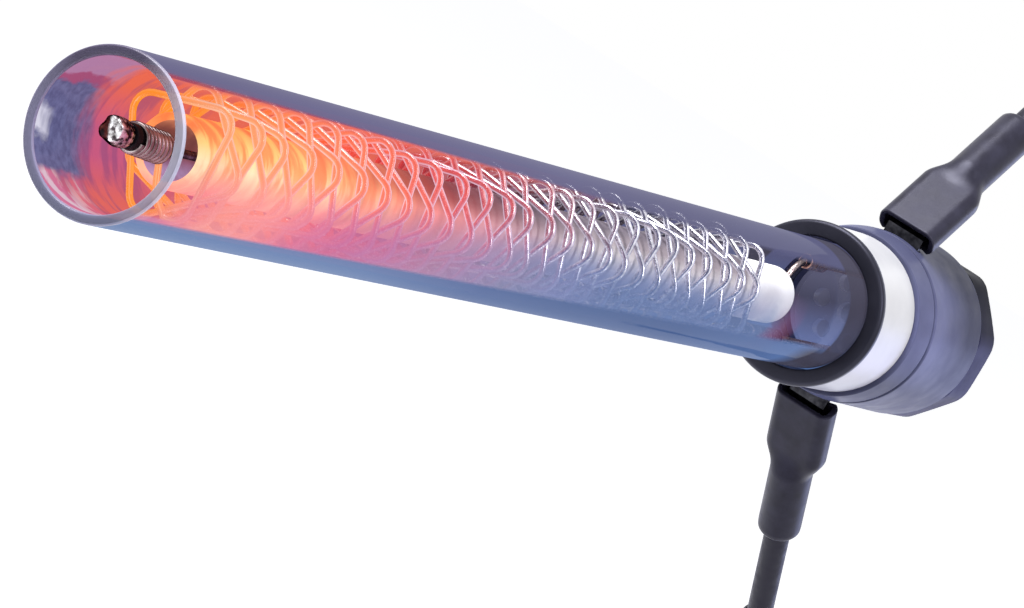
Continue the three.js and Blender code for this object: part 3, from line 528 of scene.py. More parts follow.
def meshOf(points, faces):  # points in millimetres; faces end up pointing outwards
    mesh = bpy.data.meshes.new("piece")
    mesh.from_pydata([Vector(point) * mm for point in points], [], faces)
    work = bmesh.new()
    work.from_mesh(mesh)
    bmesh.ops.remove_doubles(work, verts=work.verts, dist=0.0005 * mm)
    bmesh.ops.recalc_face_normals(work, faces=work.faces)
    if work.calc_volume(signed=True) < 0:
        bmesh.ops.reverse_faces(work, faces=work.faces)
    work.to_mesh(mesh)
    work.free()
    return mesh


def loft(rings):  # closed rings of equal count, the last one joined to the first
    points = [point for ring in rings for point in ring]
    count = len(rings[0])
    faces = []
    for i in range(len(rings)):
        here = i * count
        there = (i + 1) % len(rings) * count
        for k in range(count):
            after = (k + 1) % count
            faces.append((here + k, here + after, there + after, there + k))
    return meshOf(points, faces)


def revolved(outline, sides):  # an outline of (x, radius), turned about the heater's axis
    points, faces, rings = [], [], []
    for x, radius in outline:
        first = len(points)
        if radius < 0.001:
            points.append((x, 0, 0))
            rings.append([first] * sides)
            continue
        rings.append(list(range(first, first + sides)))
        points += [aroundAxis(x, radius, 2 * math.pi * i / sides) for i in range(sides)]
    for here, there in zip(rings, rings[1:] + rings[:1]):
        for i in range(sides):
            after = (i + 1) % sides
            corners = dict.fromkeys((here[i], here[after], there[after], there[i]))
            if len(corners) > 2:
                faces.append(tuple(corners))
    return meshOf(points, faces)


def cornerArc(start, corner, end, steps):  # from the start to the end, drawn towards the corner
    shares = [k / steps for k in range(steps + 1)]
    return [start * (1 - s) ** 2 + corner * 2 * s * (1 - s) + end * s ** 2 for s in shares]


def softened(outline, radius, steps=4):  # the outline with its sharp corners rounded
    rounded = []
    for i, corner in enumerate(outline):
        here = Vector(corner)
        before = Vector(outline[i - 1]) - here
        after = Vector(outline[(i + 1) % len(outline)]) - here
        if here.y < 0.001 or before.angle(after) > math.radians(172):
            rounded.append(tuple(here))
            continue
        reach = min(radius, 0.45 * before.length, 0.45 * after.length)
        start = here + before.normalized() * reach
        end = here + after.normalized() * reach
        rounded += [tuple(spot) for spot in cornerArc(start, here, end, steps)]
    return rounded


def pipe(back, front, bore, radius, sides, rounding=0, steps=4):
    outline = [(back, bore), (back, radius), (front, radius), (front, bore)]
    return revolved(softened(outline, rounding, steps) if rounding else outline, sides)


def shifted(mesh, x, z=0, y=0):
    mesh.transform(Matrix.Translation(Vector((x, y, z)) * mm))
    return mesh


def plainMesh(made):  # the object's mesh with its modifiers worked in; the object itself goes
    bpy.context.view_layer.update()
    graph = bpy.context.evaluated_depsgraph_get()
    mesh = bpy.data.meshes.new_from_object(made.evaluated_get(graph))
    bpy.data.objects.remove(made)
    return mesh


def carved(mesh, cutters, operation="DIFFERENCE"):
    made = placed("blank", mesh)
    tools = [placed("tool", cutter) for cutter in cutters]
    for tool in tools:
        step = made.modifiers.new("cut", "BOOLEAN")
        step.operation = operation
        step.solver = "EXACT"
        step.object = tool
    result = plainMesh(made)
    for tool in tools:
        bpy.data.objects.remove(tool)
    return result


def boxMesh(low, high):
    points = [(x, y, z) for x in (low[0], high[0]) for y in (low[1], high[1]) for z in (low[2], high[2])]
    return meshOf(points, [(0, 1, 3, 2), (4, 6, 7, 5), (0, 4, 5, 1), (2, 3, 7, 6), (0, 2, 6, 4),
                           (1, 5, 7, 3)])


def dress(mesh, node, slot, *coats, body="heater", faceCoats=None, smoothing=40):
    first, *others = node.split("_")
    name = first + "".join(word.capitalize() for word in others)
    mesh.name = name
    mesh.materials.clear()
    for coat in coats:
        mesh.materials.append(finishes[coat])
    mesh.shade_smooth()
    mesh.set_sharp_from_angle(angle=math.radians(smoothing))
    if faceCoats:
        mesh.polygons.foreach_set("material_index", faceCoats)
    made = placed(name, mesh)
    keep = made.modifiers.new("evenShading", "WEIGHTED_NORMAL")
    keep.keep_sharp = True
    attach(made, body)
    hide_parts(node)
    return made


# ---- node trees for what is wound, swept or repeated ----


class Grower(Graph):  # reshapes the geometry that it is given; its inputs are called by their names
    def __init__(self, name, whole, real=""):  # the inputs that take whole numbers, and the others
        super().__init__(bpy.data.node_groups.new(name, "GeometryNodeTree"))
        for kind, labels in (("Geometry", "Geometry"), ("Int", whole), ("Float", real)):
            for label in labels.split():
                self.tree.interface.new_socket(label, in_out="INPUT", socket_type=f"NodeSocket{kind}")
        self.tree.interface.new_socket("Geometry", in_out="OUTPUT", socket_type="NodeSocketGeometry")
        self.given = self.tree.nodes.new("NodeGroupInput").outputs

    def feed(self, sockets, values):
        super().feed(sockets, {name: self.given[value] if isinstance(value, str) else value
                               for name, value in values.items()})

    def sweep(self, line):  # a round wire along a line of points
        curve = self.step("GeometryNodeMeshToCurve", {0: line})[0]
        circle = self.step("GeometryNodeCurvePrimitiveCircle", {"Resolution": "Sides", "Radius": "Radius"})[0]
        self.finish(self.step("GeometryNodeCurveToMesh", {0: curve, "Profile Curve": circle,
                                                          "Fill Caps": True})[0])

    def finish(self, geometry):
        smooth = self.step("GeometryNodeSetShadeSmooth", {0: geometry})[0]
        self.step("NodeGroupOutput", {0: self.step("GeometryNodeRealizeInstances", {0: smooth})[0]})


def starWinding():  # the middle points of a line, bent into a star that moves along the axis
    grower = Grower("starWinding", "Before Corners Steps Seed Sides",
                    "Turn First Bend Corner Start Advance Wander Radius")
    calc = grower.calc
    place = calc("SUBTRACT", grower.step("GeometryNodeInputIndex")[0], "Before")
    corner = calc("FLOOR", calc("DIVIDE", place, "Steps"))
    step = calc("SUBTRACT", place, calc("MULTIPLY", corner, "Steps"))
    phase = calc("SUBTRACT", calc("DIVIDE", step, calc("SUBTRACT", "Steps", 1)), 0.5)

    def wander(offset):
        chance = grower.step("FunctionNodeRandomValue", {2: -1, 3: 1, "ID": corner,
                                                         "Seed": calc("ADD", "Seed", offset)})
        return calc("MULTIPLY", chance[1], "Wander")

    angle = calc("MULTIPLY_ADD", wander(0), 90, calc("MULTIPLY_ADD", corner, "Turn", "First"))
    facing = calc("MULTIPLY_ADD", phase, "Turn", angle)
    circle = calc("ADD", "Bend", wander(1))
    travel = calc("MULTIPLY", calc("MULTIPLY_ADD", phase, 0.2, corner), "Advance")
    spot = [calc("ADD", calc("SUBTRACT", "Start", travel), wander(2))]
    for wave in ("COSINE", "SINE"):
        spot.append(calc("ADD", calc("MULTIPLY", circle, calc(wave, angle)),
                         calc("MULTIPLY", "Corner", calc(wave, facing))))
    wound = calc("MULTIPLY", calc("GREATER_THAN", place, -0.5),
                calc("LESS_THAN", corner, calc("SUBTRACT", "Corners", 0.5)))
    spot = grower.step("ShaderNodeCombineXYZ", dict(enumerate(spot)))[0]
    grower.sweep(grower.step("GeometryNodeSetPosition", {0: "Geometry", "Selection": wound,
                                                         "Position": spot})[0])
    return grower.tree


def sweptWire():
    grower = Grower("sweptWire", "Sides", "Radius")
    grower.sweep("Geometry")
    return grower.tree


def ridgesRound():  # the given ridge, repeated round the heater's axis
    grower = Grower("ridgesRound", "Ridges")
    line = grower.step("GeometryNodeMeshLine", {"Count": "Ridges", "Offset": (0, 0, 0)})[0]
    index = grower.step("GeometryNodeInputIndex")[0]
    turn = grower.calc("DIVIDE", grower.calc("MULTIPLY", index, 2 * math.pi), "Ridges")
    spin = grower.step("ShaderNodeCombineXYZ", {0: turn})[0]
    grower.finish(grower.step("GeometryNodeInstanceOnPoints", {"Points": line, "Instance": "Geometry",
                                                                "Rotation": spin})[0])
    return grower.tree


def grown(mesh, tree, **values):  # runs a tree on a mesh
    made = placed(mesh.name, mesh)
    step = made.modifiers.new("grow", "NODES")
    step.node_group = tree
    for item in tree.interface.items_tree:
        if item.in_out == "INPUT" and item.name in values:
            step[item.identifier] = values[item.name]
    return plainMesh(made)


def lineMesh(route):
    mesh = bpy.data.meshes.new("line")
    mesh.from_pydata([Vector(point) * mm for point in route], [(i, i + 1) for i in range(len(route) - 1)], [])
    return mesh


winder, sweeper, repeater = starWinding(), sweptWire(), ridgesRound()


def wireMesh(route, radius, sides=16):
    return grown(lineMesh(route), sweeper, Radius=radius * mm, Sides=sides)


def smoothRoute(points, steps=6):  # a curve through the points
    line = [Vector(point) for point in points]
    line = [2 * line[0] - line[1], *line, 2 * line[-1] - line[-2]]
    route = []
    for before, start, end, after in zip(line, line[1:], line[2:], line[3:]):
        for k in range(steps):
            t = k / steps
            bend = 2 * before - 5 * start + 4 * end - after
            twist = 3 * start - before - 3 * end + after
            route.append(0.5 * (2 * start + (end - before) * t + bend * t ** 2 + twist * t ** 3))
    return [*route, line[-2]]


print("shaping tools ready")

# ---- terminals: boots, sockets and leads, each drawn along the blade and then put on it ----

terminal = {
    "blade": 25.8,  # place of the blades along the heater
    "bend": 14.65,  # height of the bend above the axis
    "sides": {
        "upper": {"turn": 0.0, "lean": 46, "leadLength": 30},
        "lower": {"turn": math.pi, "lean": 42, "leadLength": 36},
    },
    "leadRadius": 2.05,
    "leadStart": 19.1,
    "leadStep": 3,
}


def onBlade(side):
    setup = terminal["sides"][side]
    bend = Matrix.Translation((terminal["blade"], 0, terminal["bend"]))
    lean = Matrix.Rotation(-math.pi / 2 - math.radians(setup["lean"]), 4, "Y")
    return Matrix.Rotation(setup["turn"], 4, "X") @ bend @ lean


def putOnBlade(mesh, side):
    place = onBlade(side)
    mesh.transform(Matrix.Translation(place.translation * mm) @ place.to_3x3().to_4x4())
    return mesh


def putOnLead(mesh, side):
    return putOnBlade(shifted(mesh, terminal["leadStart"] + terminal["sides"][side]["leadLength"]), side)


def makeLead(side):
    setup = terminal["sides"][side]
    place = onBlade(side)
    count = round(setup["leadLength"] / terminal["leadStep"])
    stations = [terminal["leadStart"] + setup["leadLength"] * i / count for i in range(count + 1)]
    data = bpy.data.curves.new(f"{side}Lead", "CURVE")
    data.dimensions = "3D"
    data.bevel_depth = terminal["leadRadius"] * mm
    data.bevel_resolution = 10
    data.use_fill_caps = True
    spline = data.splines.new("POLY")
    spline.points.add(count)
    for point, station in zip(spline.points, stations):
        point.co = (*(place @ Vector((station, 0, 0)) * mm), 1)
    data.materials.append(finishes[f"{side}Silicone"])
    made = placed(f"{side}Lead", data)
    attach(made, f"{side}_lead_set")
    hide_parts(f"{side}_lead")
    return made, place @ Vector((terminal["leadStart"], 0, 0)) * mm


eyelet = {
    "gap": 0.3,
    "barrelLength": 5,
    "barrelRadius": 1.8,
    "ringRadius": 4.8,
    "holeRadius": 2.65,
    "thickness": 0.9,
    "sleeveRadius": 2.9,
    "sleeveBack": 4,
    "sleeveBore": 2.35,
}


def flatPlate(outline, thickness):  # an outline of (x, y), as thick as said, about the plane z = 0
    top = [(x, y, thickness / 2) for x, y in outline]
    bottom = [(x, y, -thickness / 2) for x, y in outline]
    count = len(outline)
    faces = [tuple(range(count)), tuple(range(2 * count - 1, count - 1, -1))]
    faces += [(i, count + i, count + (i + 1) % count, (i + 1) % count) for i in range(count)]
    return meshOf(top + bottom, faces)


def bevelled(mesh, width):
    made = placed("blank", mesh)
    step = made.modifiers.new("edges", "BEVEL")
    step.width = width * mm
    step.segments = 3
    step.limit_method = "ANGLE"
    step.angle_limit = math.radians(40)
    return plainMesh(made)


def arc(centre, radius, start, end, steps):
    angles = [math.radians(start + (end - start) * i / steps) for i in range(steps + 1)]
    return [(centre[0] + radius * math.cos(a), centre[1] + radius * math.sin(a)) for a in angles]


def eyeletMesh(side):
    size = eyelet
    neck = size["gap"] + size["barrelLength"]
    centre = neck + size["ringRadius"]
    tongue = size["barrelRadius"]
    spread = math.degrees(math.asin(tongue / size["ringRadius"]))
    outline = [(neck - 1, tongue), (neck - 1, -tongue)]
    outline += arc((centre, 0), size["ringRadius"], spread - 180, 180 - spread, 48)
    hole = pipe(-2, 2, 0, size["holeRadius"], 64)
    hole.transform(Matrix.Rotation(math.pi / 2, 4, "Y"))
    plate = carved(flatPlate(outline, size["thickness"]), [shifted(hole, centre)])
    barrel = pipe(size["gap"], neck, 0, tongue, 64, 0.3)
    return putOnLead(carved(bevelled(plate, 0.12), [barrel], "UNION"), side)


def sleeveMesh(side):
    size = eyelet
    back, front, radius = -size["sleeveBack"], size["barrelLength"], size["sleeveRadius"]
    outline = [(back, size["sleeveBore"]), (back, radius - 0.1), (back + 1, radius), (front - 1, radius),
               (front, radius - 0.1), (front, size["sleeveBore"])]
    return putOnLead(revolved(softened(outline, 0.25), 72), side)


for side, setup in terminal["sides"].items():
    lead, leadExit = makeLead(side)
    body = f"{side}_lead_set"
    ring = dress(eyeletMesh(side), f"{side}_eyelet", "tinned_metal", "tinnedBrass", body=body)
    sleeve = dress(sleeveMesh(side), f"{side}_eyelet_sleeve", "sleeve_vinyl", "sleeveVinyl", body=body)
    tuple(leadExit)
print("leads ready")

boot = {
    "start": -0.2,
    "width": 10,
    "thickness": 4.4,
    "corner": 1.8,
    "flat": 11.2,
    "shoulder": 5,
    "sleeve": 13.6,
    "sleeveRadius": 3.4,
    "lip": 0.5,
    "mouthRounding": 0.28,
    "socket": (4.125, 1.35, 0.6),  # half width, half height and corner of the opening
    "bore": 2.35,
    "cornerSteps": 10,
    "flatSteps": (16, 3),  # across the wide faces and up the narrow sides
    "bodyClearance": 13.853,  # radius kept free round the head's body
    "clearanceSpan": (7.5, 29.5),
}


def bootRing(along, halfWidth, halfThickness, corner):
    ring = []
    steps = boot["cornerSteps"]
    for i in range(4):
        y = (1 if i in (0, 3) else -1) * (halfWidth - corner)
        z = (1 if i < 2 else -1) * (halfThickness - corner)
        for k in range(steps):
            angle = math.pi / 2 * (i + k / (steps - 1))
            ring.append((along, y + corner * math.cos(angle), z + corner * math.sin(angle)))
        last = Vector(ring[-1])
        way = Vector((0, *((1, 0), (0, 1), (-1, 0), (0, -1))[i]))
        following = last - 2 * ((halfThickness if i % 2 else halfWidth) - corner) * way
        flats = boot["flatSteps"][i % 2]
        ring += [tuple(last.lerp(following, (k + 1) / (flats + 1))) for k in range(flats)]
    return ring


def blendedRing(along, share, flat, radius):  # each point goes straight out or in to the circle
    ring = []
    for x, y, z in bootRing(along, *flat):
        growth = 1 + (radius / math.hypot(y, z) - 1) * share
        ring.append((x, y * growth, z * growth))
    return ring


def eased(share):
    return share * share * (3 - 2 * share)


def bootMesh(side):
    outside = (boot["width"] / 2, boot["thickness"] / 2, boot["corner"])
    shoulder = boot["start"] + boot["flat"]
    end = shoulder + boot["shoulder"] + boot["sleeve"]
    radius = boot["sleeveRadius"]
    lip = boot["lip"]
    rings = []
    for share in (0, 0.35, 0.7, 1):  # the mouth's edge rolls over
        turn = share * math.pi / 2
        inset = boot["mouthRounding"] * (1 - math.sin(turn))
        place = boot["start"] + boot["mouthRounding"] * (1 - math.cos(turn))
        rings.append(bootRing(place, *[size - inset for size in outside]))
    rings.append(bootRing(shoulder - 0.6, *outside))
    for k in range(13):
        share = k / 12
        rings.append(blendedRing(shoulder + share * boot["shoulder"], eased(share), outside, radius))
    rings.append(blendedRing(end - 2.6 * lip, 1, outside, radius))
    for share in (0.2, 0.5, 0.8, 1):
        turn = share * math.pi / 2
        rings.append(blendedRing(end - 1.6 * lip * (1 - math.sin(turn)), 1, outside,
                                 radius - 1.4 * lip * (1 - math.cos(turn))))
    rings.append(blendedRing(end, 1, boot["socket"], boot["bore"]))
    for place, share in ((0.75, 1), (0.6, 0.85), (0.45, 0.5), (0.3, 0.15), (0.2, 0)):
        rings.append(blendedRing(shoulder + place * boot["shoulder"], share, boot["socket"], boot["bore"]))
    rings.append(bootRing(boot["start"] + 0.15, *boot["socket"]))
    room = pipe(*boot["clearanceSpan"], 0, boot["bodyClearance"], 192)
    return carved(putOnBlade(loft(rings), side), [room])


for side in terminal["sides"]:
    dress(bootMesh(side), f"{side}_boot", "boot_vinyl", f"{side}Vinyl", body=f"{side}_lead_set")
print("boots ready")

socket = {
    "start": 1.6,
    "length": 7,
    "blade": 0.7,  # half height of the room for the blade
    "width": 3.475,
    "sheet": 0.35,
    "neckWidth": 2.6,
    "neckLength": 5,
    "barrelLength": 4.5,
    "barrelBore": 1.3,
    "barrelWall": 0.4,
}


def socketSection():  # half of the rolled strip's section, as (y, z), from the floor round to the rolled edge
    top = socket["blade"] + socket["sheet"] / 2
    side = socket["width"] + socket["sheet"] / 2
    roll = top
    line = [(0, -top), (side - roll, -top)]
    line += arc((side - roll, 0), roll, -90, 90, 14)[1:]
    line += arc((side - roll - 0.4, 0.42), top - 0.42, 90, 215, 10)
    return line


def socketMesh(side):
    half = socketSection()
    section = [(-y, z) for y, z in reversed(half[1:])] + half
    thick = socket["sheet"] / 2
    outer, inner = [], []
    for i, spot in enumerate(section):
        before = Vector(section[max(i - 1, 0)])
        after = Vector(section[min(i + 1, len(section) - 1)])
        across = (after - before).normalized().orthogonal() * thick
        outer.append(tuple(Vector(spot) + across))
        inner.append(tuple(Vector(spot) - across))
    outline = outer + inner[::-1]
    ends = (socket["start"], socket["start"] + socket["length"])
    rings = [[(x, y, z) for y, z in outline] for x in ends]
    points = rings[0] + rings[1]
    count = len(outline)
    faces = [(i, (i + 1) % count, count + (i + 1) % count, count + i) for i in range(count)]
    last = len(outer)
    for i in range(last - 1):
        for first in (0, count):
            faces.append((first + i, first + i + 1, first + count - 2 - i, first + count - 1 - i))
    strip = meshOf(points, faces)
    floor = -socket["blade"]
    barrelStart = ends[1] + socket["neckLength"]
    neck = boxMesh((ends[1] - 0.7, -socket["neckWidth"] / 2, floor - socket["sheet"]),
                   (barrelStart + 0.7, socket["neckWidth"] / 2, floor))
    bore = socket["barrelBore"]
    barrel = pipe(barrelStart, barrelStart + socket["barrelLength"], bore, bore + socket["barrelWall"], 64,
                  0.12)
    return putOnBlade(carved(strip, [neck, barrel], "UNION"), side)


for side in terminal["sides"]:
    dress(socketMesh(side), f"{side}_receptacle", "tinned_metal", "agedTin", body=f"{side}_lead_set")
print("sockets ready")

# ---- head: body with its spanner section, collar, label and inlet ----

head = {
    "octagonRadius": 14.2,
    "octagonLength": 7.5,
    "octagonChamfer": 0.7,
    "octagonCorners": (28, 70),  # degrees from the upper terminal
    "octagonRounding": 1.6,
    "sides": 288,
    "rimRadius": 13.85,
    "bodyRadius": 13.45,
    "bodyFront": 28.5,
    "spigotRadius": 10.5,
    "edge": 0.35,
    "insertSeat": 6.4,
    "insertDepth": 10.8,
    "airWay": 4.6,
    "cavityBack": 11.8,
    "guideShoulder": 28.2,
    "cavityRadius": 8.6,
    "cavityNeck": 8.0,
    "shoulderRadius": 13.4,
    "shoulderStep": 12.75,
    "shoulderFront": 34.5,
    "labelFront": 48.5,
    "labelSeat": 11.5,
    "lipRadius": 12.3,
    "lipChamfer": 0.4,
    "web": (31.8, 34.8),
    "webBore": 8.4,
    "bladeSlot": (0.7, 3.475),
}


def octagonOutline():  # the spanner section's outline, as (y, z), its corners rounded
    first, second = head["octagonCorners"]
    turns = [first, second, 180 - second, 180 - first]
    turns += [turn + 180 for turn in turns]
    radius = head["octagonRadius"]
    corners = [Vector((radius * math.sin(math.radians(turn)), radius * math.cos(math.radians(turn))))
               for turn in turns]
    outline = []
    for i, corner in enumerate(corners):
        start = corner + (corners[i - 1] - corner).normalized() * head["octagonRounding"]
        end = corner + (corners[(i + 1) % 8] - corner).normalized() * head["octagonRounding"]
        outline += cornerArc(start, corner, end, 8)
    return outline


def outlineReach(outline, angle):  # how far the outline lies from the axis, in the direction of that angle
    way = Vector((math.cos(angle), math.sin(angle)))
    for start, end in zip(outline, outline[1:] + outline[:1]):
        side = end - start
        across = way.x * side.y - way.y * side.x
        if abs(across) < 1e-9:
            continue
        reach = (start.x * side.y - start.y * side.x) / across
        share = (start.x * way.y - start.y * way.x) / across
        if reach > 0 and -1e-6 <= share <= 1 + 1e-6:
            return reach
    return head["octagonRadius"]


def bodyMesh():
    count = head["sides"]
    outline = octagonOutline()
    angles = [2 * math.pi * i / count for i in range(count)]
    flats = [outlineReach(outline, angle) for angle in angles]
    length, chamfer = head["octagonLength"], head["octagonChamfer"]
    rings = []

    def ring(x, reaches):
        rings.append([aroundAxis(x, reach, angle) for reach, angle in zip(reaches, angles)])

    full = head["octagonRadius"]
    for k in range(9):  # the chamfer is a cone that cuts the corners off
        share = k / 8
        limit = full - 2 * chamfer * (1 - share)
        ring(chamfer * share, [min(flat, limit) - 0.12 * max(0, 1 - 4 * share) for flat in flats])
    ring(length - 0.25, flats)
    ring(length, [flat - 0.12 for flat in flats])
    front, spigot, airWay, seat = head["bodyFront"], head["spigotRadius"], head["airWay"], head["insertSeat"]
    cavity, neck = head["cavityRadius"], head["cavityNeck"]
    outside = [(length, head["rimRadius"] - 0.8), (length, head["rimRadius"]), (front, head["bodyRadius"]),
               (front, spigot), (spigotFront, spigot), (spigotFront, cavity), (head["guideShoulder"], cavity),
               (head["guideShoulder"], neck), (head["cavityBack"], neck), (head["cavityBack"], airWay),
               (head["insertDepth"], airWay), (head["insertDepth"], seat), (0, seat)]
    for x, radius in [*softened(outside, head["edge"])[5:-5], (0.3, seat), (0, seat + 0.3)]:
        ring(x, [radius] * count)
    thick, wide = head["bladeSlot"]
    slot = boxMesh((terminal["blade"] - thick, -wide, -full - 1), (terminal["blade"] + thick, wide, full + 1))
    return carved(loft(rings), [slot])


body = bodyMesh()


def bodyCoat(face):  # 0 on the round part, 1 on the spanner section, 2 in the chamber behind the tube
    centre = face.center / mm
    if centre.x > head["cavityBack"] - 0.1 and math.hypot(centre.y, centre.z) < head["cavityRadius"] + 0.1:
        return 2
    return int(centre.x < head["octagonLength"] + 0.05)


dress(body, "rear_body", "black_moulding", "satinMoulding", "darkMoulding", "chamberWall",
      faceCoats=[bodyCoat(face) for face in body.polygons], smoothing=32)


def collarMesh():
    shoulder, label, seat = head["shoulderFront"], head["labelFront"], head["labelSeat"]
    lip, chamfer = head["lipRadius"], head["lipChamfer"]
    bore, mouth = tubeRadius + 0.3, head["spigotRadius"] + 0.3
    (back, front), web = head["web"], head["webBore"]
    outline = [(collarBack, mouth), (collarBack, head["shoulderRadius"]), (shoulder, head["shoulderStep"]),
               (shoulder, seat), (label, seat), (label, lip), (collarFront - chamfer, lip),
               (collarFront, lip - chamfer), (collarFront, bore), (front, bore), (front, web), (back, web),
               (back, mouth)]
    return revolved(softened(outline, 0.3), 256)


collar = collarMesh()
dress(collar, "front_collar", "black_moulding", "blackMoulding", "satinMoulding", smoothing=32,
      faceCoats=[int(face.center.x / mm < head["shoulderFront"] + 0.05) for face in collar.polygons])


label = pipe(head["shoulderFront"] + 0.3, head["labelFront"] - 0.3, head["labelSeat"] + 0.3,
             high("label_band", 2), 256, 0.12)
dress(label, "label_band", "white_label", "labelVinyl")
print("head ready")

inlet = {
    "radius": 6.1,
    "bore": 4.6,
    "length": 10.5,
    "knurls": 56,
    "knurlDepth": 0.3,
    "knurlLength": 2.2,
    "threadPitch": 1.0,
    "threadHeight": 0.45,
}


def helix(radius, start, turns, pitch, stepsPerTurn):
    count = round(turns * stepsPerTurn)
    angles = [2 * math.pi * i / stepsPerTurn for i in range(count + 1)]
    return [aroundAxis(start + pitch * angle / (2 * math.pi), radius, angle) for angle in angles]


def joined(*meshes):  # closed shells together in one mesh
    work = bmesh.new()
    for mesh in meshes:
        work.from_mesh(mesh)
    mesh = bpy.data.meshes.new("joined")
    work.to_mesh(mesh)
    work.free()
    return mesh


def knurlMeshes():
    size = inlet
    half = math.pi * size["radius"] / size["knurls"] * 0.62
    top = size["radius"] - 0.02
    base = top - 1.5 * size["knurlDepth"]
    rows = []
    for start in (0.5, size["length"] - size["knurlLength"] - 0.5):
        ends = (start, start + size["knurlLength"])
        ridge = ((-half, base), (half, base), (0.12, top), (-0.12, top))
        points = [(x, y, z) for x in ends for y, z in ridge]
        faces = [(0, 1, 2, 3), (7, 6, 5, 4), (0, 4, 5, 1), (1, 5, 6, 2), (2, 6, 7, 3), (3, 7, 4, 0)]
        rows.append(grown(meshOf(points, faces), repeater, Ridges=size["knurls"]))
    return rows


thread = wireMesh(helix(inlet["bore"] + 0.25, 0.7, (inlet["length"] - 1.4) / inlet["threadPitch"],
                        inlet["threadPitch"], 48), inlet["threadHeight"], 6)
insert = pipe(0, inlet["length"], inlet["bore"] + 0.35, inlet["radius"] - inlet["knurlDepth"], 128, 0.3)
dress(joined(insert, thread, *knurlMeshes()), "inlet_insert", "brass", "turnedBrass")

guide = {
    "front": high("wire_guide"),
    "back": low("wire_guide"),
    "radius": high("wire_guide", 2),
    "holes": 6,
    "holeRadius": 1.4,
    "holeCircle": 4.6,
    "centreHole": 1.6,
    "feedHole": 0.75,
    "feedPlace": 6.2,
}


def guideMesh():
    back, front = guide["back"], guide["front"]
    holes = [(0, 0, guide["centreHole"]), (0, guide["feedPlace"], guide["feedHole"]),
             (0, -guide["feedPlace"], guide["feedHole"])]
    for i in range(guide["holes"]):
        place = aroundAxis(0, guide["holeCircle"], 2 * math.pi * i / guide["holes"])
        holes.insert(i + 1, (place.y, place.z, guide["holeRadius"]))
    drills = [shifted(pipe(back - 1, front + 1, 0, radius, 48), 0, z, y) for y, z, radius in holes]
    return carved(pipe(back, front, 0, guide["radius"], 128, 0.25), drills)


dress(guideMesh(), "wire_guide", "black_moulding", "slateBoard")
print("inlet and guide ready")

# ---- quartz tube, core and the wires inside ----


tubeBack = low("glass_tube")


def tubeCoat(face):  # 0 outside, 1 inside, 2 on the rims
    centre = face.center / mm
    if centre.x > nozzle - 0.4 or centre.x < tubeBack + 0.4:
        return 2
    return int(math.hypot(centre.y, centre.z) < tubeRadius - 0.6)


tube = pipe(tubeBack, nozzle, tubeRadius - tubeWall, tubeRadius, 256, 0.45, 6)
dress(tube, "glass_tube", "quartz_glass", "quartzOutside", "quartzInside", "quartzRim",
      faceCoats=[tubeCoat(face) for face in tube.polygons])
core = pipe(coreBack, coreFront, coreBore, coreRadius, 160, 0.3)
dress(core, "ceramic_core", "white_ceramic", "whiteCeramic", "coreBore",
      faceCoats=[int(math.hypot(face.center.y, face.center.z) / mm < coreBore + 0.03)
                 for face in core.polygons])

winding = {
    "wireRadius": 0.4,
    "points": 7,
    "step": 2,
    "radius": 7.7,
    "cornerRadius": 2.1,
    "pitch": 6.4,
    "setback": 14.4,
    "standoff": 18.4,  # bare core behind the last star
    "tailRadius": 6.2,
    "tailDrop": 7,
    "cornerSteps": 7,
    "wander": 0.26,
    "seed": 5,
    "creep": -0.8,  # degrees that each corner turns past the star's own
    "spoke": 251.02,
    "rodClearance": 1.2,
}


def windingMesh():
    size = winding
    turn = 2 * math.pi * size["step"] / size["points"] + math.radians(size["creep"])
    advance = size["pitch"] / size["points"]
    start = nozzle - size["setback"]
    end = coreBack + size["standoff"]
    corners = round((start - end) / advance)
    first = -math.pi / 2 - corners * turn
    bend = size["radius"] - size["cornerRadius"]
    firstPoint = aroundAxis(start, bend, first)
    firstPoint += aroundAxis(0.1 * advance, size["cornerRadius"], first - turn / 2)
    spoke = size["spoke"]
    before = smoothRoute([aroundAxis(spoke, size["rodClearance"], first - turn / 2),
                          aroundAxis((2 * spoke + start) / 3, 4.5, first - turn / 4), firstPoint], 8)[:-1]
    tail = [Vector((end, 0, -size["radius"]))]
    for back, share in ((0.25, 0.1), (0.6, 0.7), (1, 1)):
        height = size["radius"] - (size["radius"] - size["tailRadius"]) * share
        tail.append(Vector((end - back * size["tailDrop"], 0, -height)))
    tail.append(Vector((low("heating_element"), 0, -size["tailRadius"])))
    middle = [Vector((0, 0, 0))] * (corners * size["cornerSteps"])
    route = [*before, *middle, *smoothRoute(tail, 6)]
    return grown(lineMesh(route), winder, Before=len(before), Corners=corners, Steps=size["cornerSteps"],
                 Turn=turn, First=first, Bend=bend * mm, Corner=size["cornerRadius"] * mm, Start=start * mm,
                 Advance=advance * mm, Wander=size["wander"] * mm, Seed=size["seed"],
                 Radius=size["wireRadius"] * mm, Sides=12)


dress(windingMesh(), "heating_element", "element_wire", "resistanceWire", smoothing=80)

stud = {
    "rodRadius": 0.5,
    "beadRadius": 1.9,
    "beadSetback": 2.9,
    "beadSeed": 8,
    "beadLumps": 34,
    "wrapRadius": 1.85,
    "wrapTurns": 8,
    "wrapPitch": 0.85,
    "ribWire": 0.34,
    "neck": 0.5,  # plain length behind the ribs
    "lean": 0.7,  # how far the bead stands off the axis
    "rodStraightPast": 1,
    "rodRise": 6,
    "ferruleRadius": 1.1,
    "tailFerruleRadius": 1.25,
    "feedRadius": 0.45,
}


def leaned(mesh):  # the stud is bent a little off the axis
    for vertex in mesh.vertices:
        share = (vertex.co.x / mm - coreFront) / (nozzle - stud["beadSetback"] - coreFront)
        vertex.co += upWay * max(0, share) ** 1.3 * stud["lean"] * mm
    return mesh


